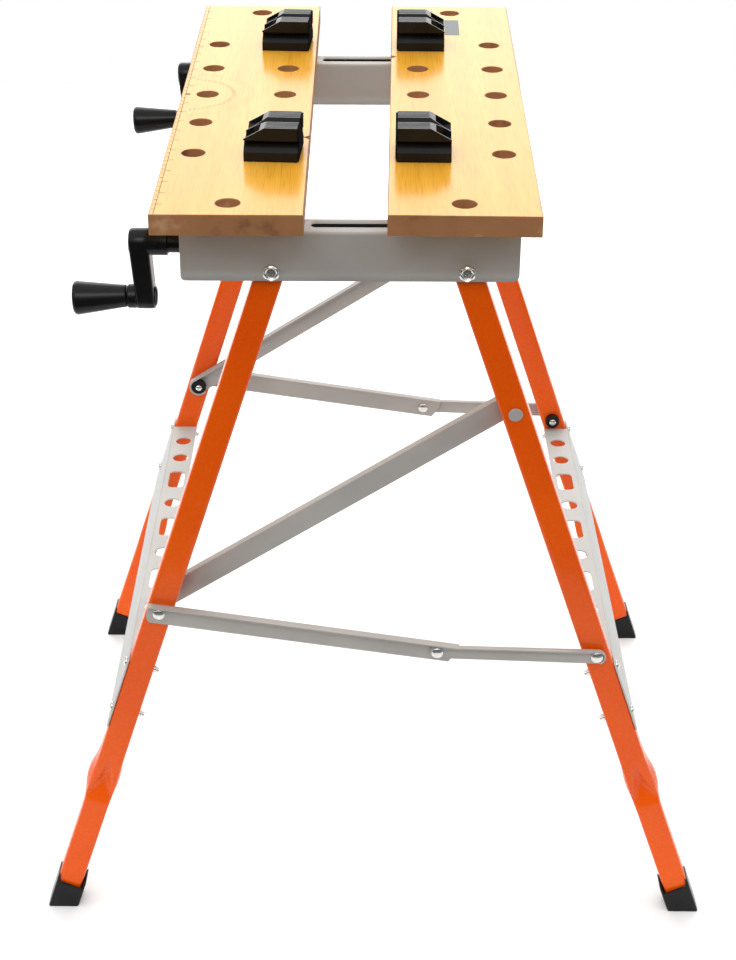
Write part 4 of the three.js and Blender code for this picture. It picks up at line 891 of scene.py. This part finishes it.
# %% Bolts
CORNER_LIMIT, CROSS_HALF, CROSS_DEEP, HEX_SHARE = 1.06, 0.09, 0.25, 0.92
SHARES = np.array([1, 1, 0.95, 0.86, 0.76, 0.66, 0.62, 0.56, 0.48, 0.4, 0.32, 0.24, 0.16, 0.08, 0])
RISES = np.array([0, 0.6, 0.78, 0.95, 1, 0.9, 0.6, 0.5] + [0.48] * 7)
BOLT_SEAT, NUT_SEAT, BOLT_WIDE, NUT_WIDE, BOLT_HIGH = 246.5, 214.3, 13.8, 11.4, 4.5
LEG_SHANK = (4.0, -32.0, 0.5)
STEP_BOLTS, STEP_HEAD, STEP_SHANK = (284.0, 232.0), (4.5, 2.6, 14.2), (2.5, -17.4, 14.5)
STEP_NUT_SEAT, STEP_NUT_WIDE, STEP_NUT_HIGH = 12.2, 7.0, 3.2


def hexagon_head(point, axis, across, height, recess=False):
    """r(t) = a / cos(t mod 60 - 30) on the flats; inside it the rings are round and follow the rise table."""
    t = np.linspace(0, 2 * np.pi, 72, endpoint=False)
    flat = across / 2 / np.cos(((t + np.pi / 6) % (np.pi / 3)) - np.pi / 6)
    flat = np.minimum(flat, across / 2 * CORNER_LIMIT)
    share = SHARES[:, None]
    radius = share * np.where(share > HEX_SHARE, flat, across / 2)
    a, b = radius * np.cos(t), radius * np.sin(t)
    cross = (np.abs(a) < CROSS_HALF * across) | (np.abs(b) < CROSS_HALF * across)
    pressed = recess & cross & (share < 0.55) & (share > 0.1)
    lift = (RISES[:, None] - np.where(pressed, CROSS_DEEP, 0.0)) * height
    u = unit(np.cross(axis, Z_AXIS))
    v = np.cross(axis, u)
    points = point + a[..., None] * u + b[..., None] * v + lift[..., None] * axis
    bottom = point + np.zeros((1, len(t), 3))
    return grid(np.concatenate([bottom, points]))


for side, end, sign in LEGS:
    axis = np.array([0, sign, 0])
    middle = np.array([SIDE[side] * PIVOT_X, 0, PIVOT_Z])
    spot = middle + axis * BOLT_SEAT
    bolt = [hexagon_head(spot, axis, BOLT_WIDE, BOLT_HIGH, recess=True),
            hexagon_head(middle + axis * NUT_SEAT, -axis, NUT_WIDE, BOLT_HIGH),
            rod(spot, axis, *LEG_SHANK)]
    make_piece(f"{end}_{side}_leg_hex_bolt", bolt, ZINC, "bench_top", f"{end}_{side}_leg_bolt", sharp=25)
    out = outwards(side)
    step_bolts = []
    for height in STEP_BOLTS:
        x, z = leg_at(side, height)
        inside = np.array([x, sign * LEG_MID, z])
        nut = hexagon_head(inside - out * STEP_NUT_SEAT, -out, STEP_NUT_WIDE, STEP_NUT_HIGH)
        head = revolve(dome(*STEP_HEAD, 1), inside, out, 28)
        step_bolts += [head, rod(inside, out, *STEP_SHANK), nut]
    make_piece(f"{end}_{side}_step_bolts", step_bolts, ZINC, f"{side}_legs", sharp=25)
print("bolts done")

# %% [markdown]
# Each vice screw is a rod with a plain shank in its bearing and a rolled thread beyond it. The thread is a
# helicoid: the radius follows x / pitch minus the turn, so one grid draws the whole spiral.

# %% Vice screws
SCREW_Z, PITCH, ROOT, THREAD_DEEP, THREAD_FADE = 716.5, 4.0, 4.3, 0.7, 3
THREAD_START, THREAD_STOP = -143.0, 117.8
SHANK_PROFILE = [(0, -191.7), (6.2, -191.7), (6.2, -146.6), (9, -146.6), (9, -143.6), (0, -143.6)]


def thread_shell(y):
    """r(x, t) = root + depth * triangle(x / pitch - t / 2 pi), faded out at both ends."""
    x = np.linspace(THREAD_START, THREAD_STOP, 600)[:, None]
    t = np.linspace(0, 2 * np.pi, 24, endpoint=False)
    phase = (x / PITCH - t / (2 * np.pi)) % 1
    fade = np.clip(np.minimum(x - THREAD_START, THREAD_STOP - x) / THREAD_FADE, 0, 1)
    radius = ROOT + THREAD_DEEP * (1 - np.abs(phase * 2 - 1)) * fade
    return grid(xyz(x, y + radius * np.cos(t), SCREW_Z + radius * np.sin(t)), cap=True)


for end, sign in ENDS:
    shank = revolve(SHANK_PROFILE, [0, sign * RAIL_Y, SCREW_Z], X_AXIS, 32)
    shells = [shank, thread_shell(sign * RAIL_Y)]
    make_piece(f"{end}_vice_screw_rod", shells, ZINC, f"{end}_screw", f"{end}_vice_screw", sharp=30)
print("vice screws done")

# %% [markdown]
# A crank is one moulding: a hub and sleeve on the screw, a flat arm that narrows downwards, and a boss for
# the turning grip. A hollow roll pin holds the sleeve. Hub, sleeve and boss are turned; the arm is a soft-
# cornered section carried from hub to boss. The grip is a long cone, wider at its free end, and hangs a
# little because it is loose on its pin.

# %% Cranks and grips
HUB_X, SLEEVE_X, SLEEVE_END, SLEEVE_STOP = -202.0, -184.0, -169.0, -158.4
ARM_LONG, HUB_WIDE, ARM_END, ARM_ROUND, LEFT_LEAN, LEAN = 50.0, 11.8, 10.7, 2.6, 0.075, 0.055
GRIP_Z, GRIP_START, GRIP_SHIFT, DROOP = SCREW_Z - ARM_LONG, -208.4, -0.35, math.radians(2.9)
ROLL_PIN_X, ROLL_PIN_UP, ROLL_PIN_HALF, GRIP_PIN = -176.7, 1.0, 11.8, (2.8, -230, -207)
HUB_PROFILE = [
    (0, HUB_X), (8.6, HUB_X), (10.8, HUB_X + 0.8), (11.9, HUB_X + 3), (11.9, SLEEVE_X - 1), (11.3, SLEEVE_X),
    (11.3, SLEEVE_END - 0.8), (10.6, SLEEVE_END), (9.0, SLEEVE_END), (9.0, SLEEVE_STOP), (6.5, SLEEVE_STOP),
    (6.5, SLEEVE_STOP - 4), (0, SLEEVE_STOP - 4),
]
BOSS_PROFILE = [(0, -208.2), (9.2, -208.2), (10.3, -207.2), (10.3, -201.0), (0, -201.0)]
CUP_PROFILE = [(0, -184.9), (8.2, -184.9), (8.2, -183.4), (7.2, -183.4), (6.8, -188), (0, -188)]
ROLL_PIN_RIM = ((1.6, -1), (2.8, -1), (2.8, 1), (1.6, 1), (1.6, -1))
ROLL_PIN_PROFILE = [(radius, end * ROLL_PIN_HALF) for radius, end in ROLL_PIN_RIM]
GRIP_PROFILE = [
    (4.3, GRIP_START), (8.9, GRIP_START), (9.7, -209.4), (9.9, -213), (14.4, -249.6), (14.5, -251.2),
    (13.9, -252.8), (12.4, -253.9), (10, -254.25), (0, -254.3), (0, -242.4), (4.3, -242.4), (4.3, GRIP_START),
]


def arm_shell(y):
    """Rounded sections down the arm: it leans towards the rail and ends in a half circle round the pin."""
    turn = np.radians(np.linspace(12, 84, 9))
    z = np.concatenate([np.linspace(SCREW_Z, GRIP_Z, 9), GRIP_Z - ARM_END * np.sin(turn)])
    wide = np.concatenate([np.linspace(HUB_WIDE, ARM_END, 9), ARM_END * np.cos(turn)])
    drop = np.minimum(SCREW_Z - z, ARM_LONG)
    left = HUB_X + 0.4 + LEFT_LEAN * drop
    right = SLEEVE_X - 0.6 + LEAN * drop
    rows = []
    for height, start, stop, half_y in zip(z, left, right, wide):
        loop = rounded_outline((stop - start) / 2, half_y, min(ARM_ROUND, 0.9 * half_y))
        rows.append(np.insert(loop + [(start + stop) / 2, y], 2, height, axis=1))
    return grid(np.stack(rows), cap=True)


def drooped(shell):
    """Turns a shell about a Y line through the grip's inner end and shifts it along X."""
    points, faces = shell
    c, s = math.cos(DROOP), math.sin(DROOP)
    dx, dz = points[:, 0] - GRIP_START, points[:, 2] - GRIP_Z
    x = GRIP_START + GRIP_SHIFT + dx * c - dz * s
    return xyz(x, points[:, 1], GRIP_Z + dx * s + dz * c), faces


for end, sign in ENDS:
    y = sign * RAIL_Y
    grip_axis = [LEAN * ARM_LONG, y, GRIP_Z]
    crank = [
        revolve(HUB_PROFILE, [0, y, SCREW_Z], X_AXIS, 44), arm_shell(y),
        revolve(BOSS_PROFILE, grip_axis, X_AXIS, 44), revolve(CUP_PROFILE, grip_axis, X_AXIS, 36),
        rod(grip_axis, X_AXIS, *GRIP_PIN, 20),
        revolve(ROLL_PIN_PROFILE, [ROLL_PIN_X, y, SCREW_Z + ROLL_PIN_UP], Y_AXIS, 24),
    ]
    make_piece(f"{end}_crank_arm", crank, BLACK, f"{end}_crank", f"{end}_crank", sharp=35)
    grip = [drooped(revolve(GRIP_PROFILE, grip_axis, X_AXIS, 48))]
    make_piece(f"{end}_turning_grip", grip, BLACK, f"{end}_grip", f"{end}_crank_grip", sharp=35)
print("cranks done")

# %% [markdown]
# What is left of the frame is hidden under the boards or hardly seen: risers, slide blocks, bearings, nuts
# and jaw screws. Their solids stay as they are and only get their finish.

# %% Finish for the solids that stay
PLASTIC_NODES = ("_fixed_riser", "_slide_block", "_screw_bearing")
STEEL_NODES = ("_slide_nut", "_jaw_screw")
for name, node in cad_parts.items():
    if name.endswith(PLASTIC_NODES + STEEL_NODES):
        node.data.materials.clear()
        node.data.materials.append(materials[ZINC if name.endswith(STEEL_NODES) else BLACK])

# %% [markdown]
# The photograph has a white ground with soft shadows under the feet and broad light from above. The floor is
# a pale sheet that keeps the shadow, and a white world fills the rest. A wide sun lights the whole, a panel
# behind gives the boards their sheen, a box in front lights the rails, and two wings light the sides.

# %% Stage and light
FLOOR_SIDE, FLOOR_FRONT, FLOOR_BACK = 3.0, -0.85, 2.4
WORLD_FILL, SUN_LEVEL, SUN_ANGLE = 0.1, 2.4, math.radians(110)
WHITE = (1, 1, 1, 1)
floor_mesh = bpy.data.meshes.new("studio_floor")
floor_corners = [(x, y, 0) for y in (FLOOR_FRONT, FLOOR_BACK) for x in (-FLOOR_SIDE, FLOOR_SIDE)]
floor_mesh.from_pydata(floor_corners, [], [(0, 1, 3, 2)])
floor = linked("studio_floor", floor_mesh)
paper = bpy.data.materials.new("white_paper")
tree = empty_tree(paper)
sheet = add(tree, "ShaderNodeBsdfDiffuse", {"Color": linear("fbfbfb")})
add(tree, "ShaderNodeOutputMaterial", {}, {0: sheet.outputs[0]})
floor_mesh.materials.append(paper)

world = bpy.data.worlds.new("studio")
scene.world = world
tree = empty_tree(world)
rays = add(tree, "ShaderNodeLightPath")
fill = add(tree, "ShaderNodeBackground", {"Color": WHITE, "Strength": WORLD_FILL})
white = add(tree, "ShaderNodeBackground", {"Color": WHITE, "Strength": 1.0})
seen = {0: rays.outputs["Is Camera Ray"], 1: fill.outputs[0], 2: white.outputs[0]}
mix = add(tree, "ShaderNodeMixShader", {}, seen)
add(tree, "ShaderNodeOutputWorld", {}, {0: mix.outputs[0]})


def stand(name, data, x, y, z, place):
    """Links a lamp or camera whose axes are X, Y and Z at a place."""
    holder = linked(name, data)
    holder.matrix_world = Matrix([[x[i], y[i], z[i], place[i]] for i in range(3)] + [[0, 0, 0, 1]])
    return holder


def aimed(lamp, name, place, aim):
    """Puts a lamp at a place and turns its -Z axis towards a point."""
    z = unit(np.subtract(place, aim))
    x = unit(np.cross(Z_AXIS, z))
    stand(name, lamp, x, np.cross(z, x), z, place)


def area_lamp(name, wide, high, watts, place, aim):
    """A rectangular lamp of a size and power, aimed at a point."""
    lamp = bpy.data.lights.new(name, "AREA")
    lamp.shape = "RECTANGLE"
    lamp.size = wide
    lamp.size_y = high
    lamp.energy = watts
    aimed(lamp, name, place, aim)


sun = bpy.data.lights.new("soft_top_light", "SUN")
sun.energy = SUN_LEVEL
sun.angle = SUN_ANGLE
aimed(sun, "soft_top_light", (-0.3, -0.9, 4.0), (0, 0, 0.5))
area_lamp("back_panel", 5.0, 2.6, 96, (0, 2.6, 1.9), (0, 0, 0.9))
area_lamp("front_box", 2.0, 1.2, 28, (-0.4, -3.0, 3.3), (0, 0, 0.6))
for side in SIDE:
    area_lamp(f"{side}_wing", 2.6, 1.8, 14, (SIDE[side] * 2.6, -0.2, 1.4), (0, 0, 0.5))

# %% [markdown]
# The camera was found by fitting the photograph's straight edges: a long lens from above, with the
# picture's centre shifted, as in a cropped photograph.

# %% Camera
FOCAL, CENTRE_U, CENTRE_V, PICTURE_WIDE, PICTURE_HIGH, SENSOR = 1846.09, 341.81, 370.41, 736, 960, 24.0
YAW, TILT = math.radians(-0.68), math.radians(26.73)
EYE_X, EYE_Y, EYE_ABOVE = -6.07, -1662.43, 547.67
forward = np.array([math.sin(YAW) * math.cos(TILT), math.cos(YAW) * math.cos(TILT), -math.sin(TILT)])
right = np.array([math.cos(YAW), -math.sin(YAW), 0])
eye = np.array([EYE_X + shift_x, EYE_Y, EYE_ABOVE + TOP]) / MM
camera = bpy.data.cameras.new("camera")
camera.sensor_fit = "VERTICAL"
camera.sensor_height = SENSOR
camera.lens = SENSOR * FOCAL / PICTURE_HIGH
camera.shift_x = (PICTURE_WIDE / 2 - CENTRE_U) / PICTURE_HIGH
camera.shift_y = (CENTRE_V - PICTURE_HIGH / 2) / PICTURE_HIGH
scene.camera = stand("camera", camera, right, np.cross(right, forward), -forward, eye)
scene.view_settings.view_transform = "Standard"

# %% Final update
bpy.context.view_layer.update()
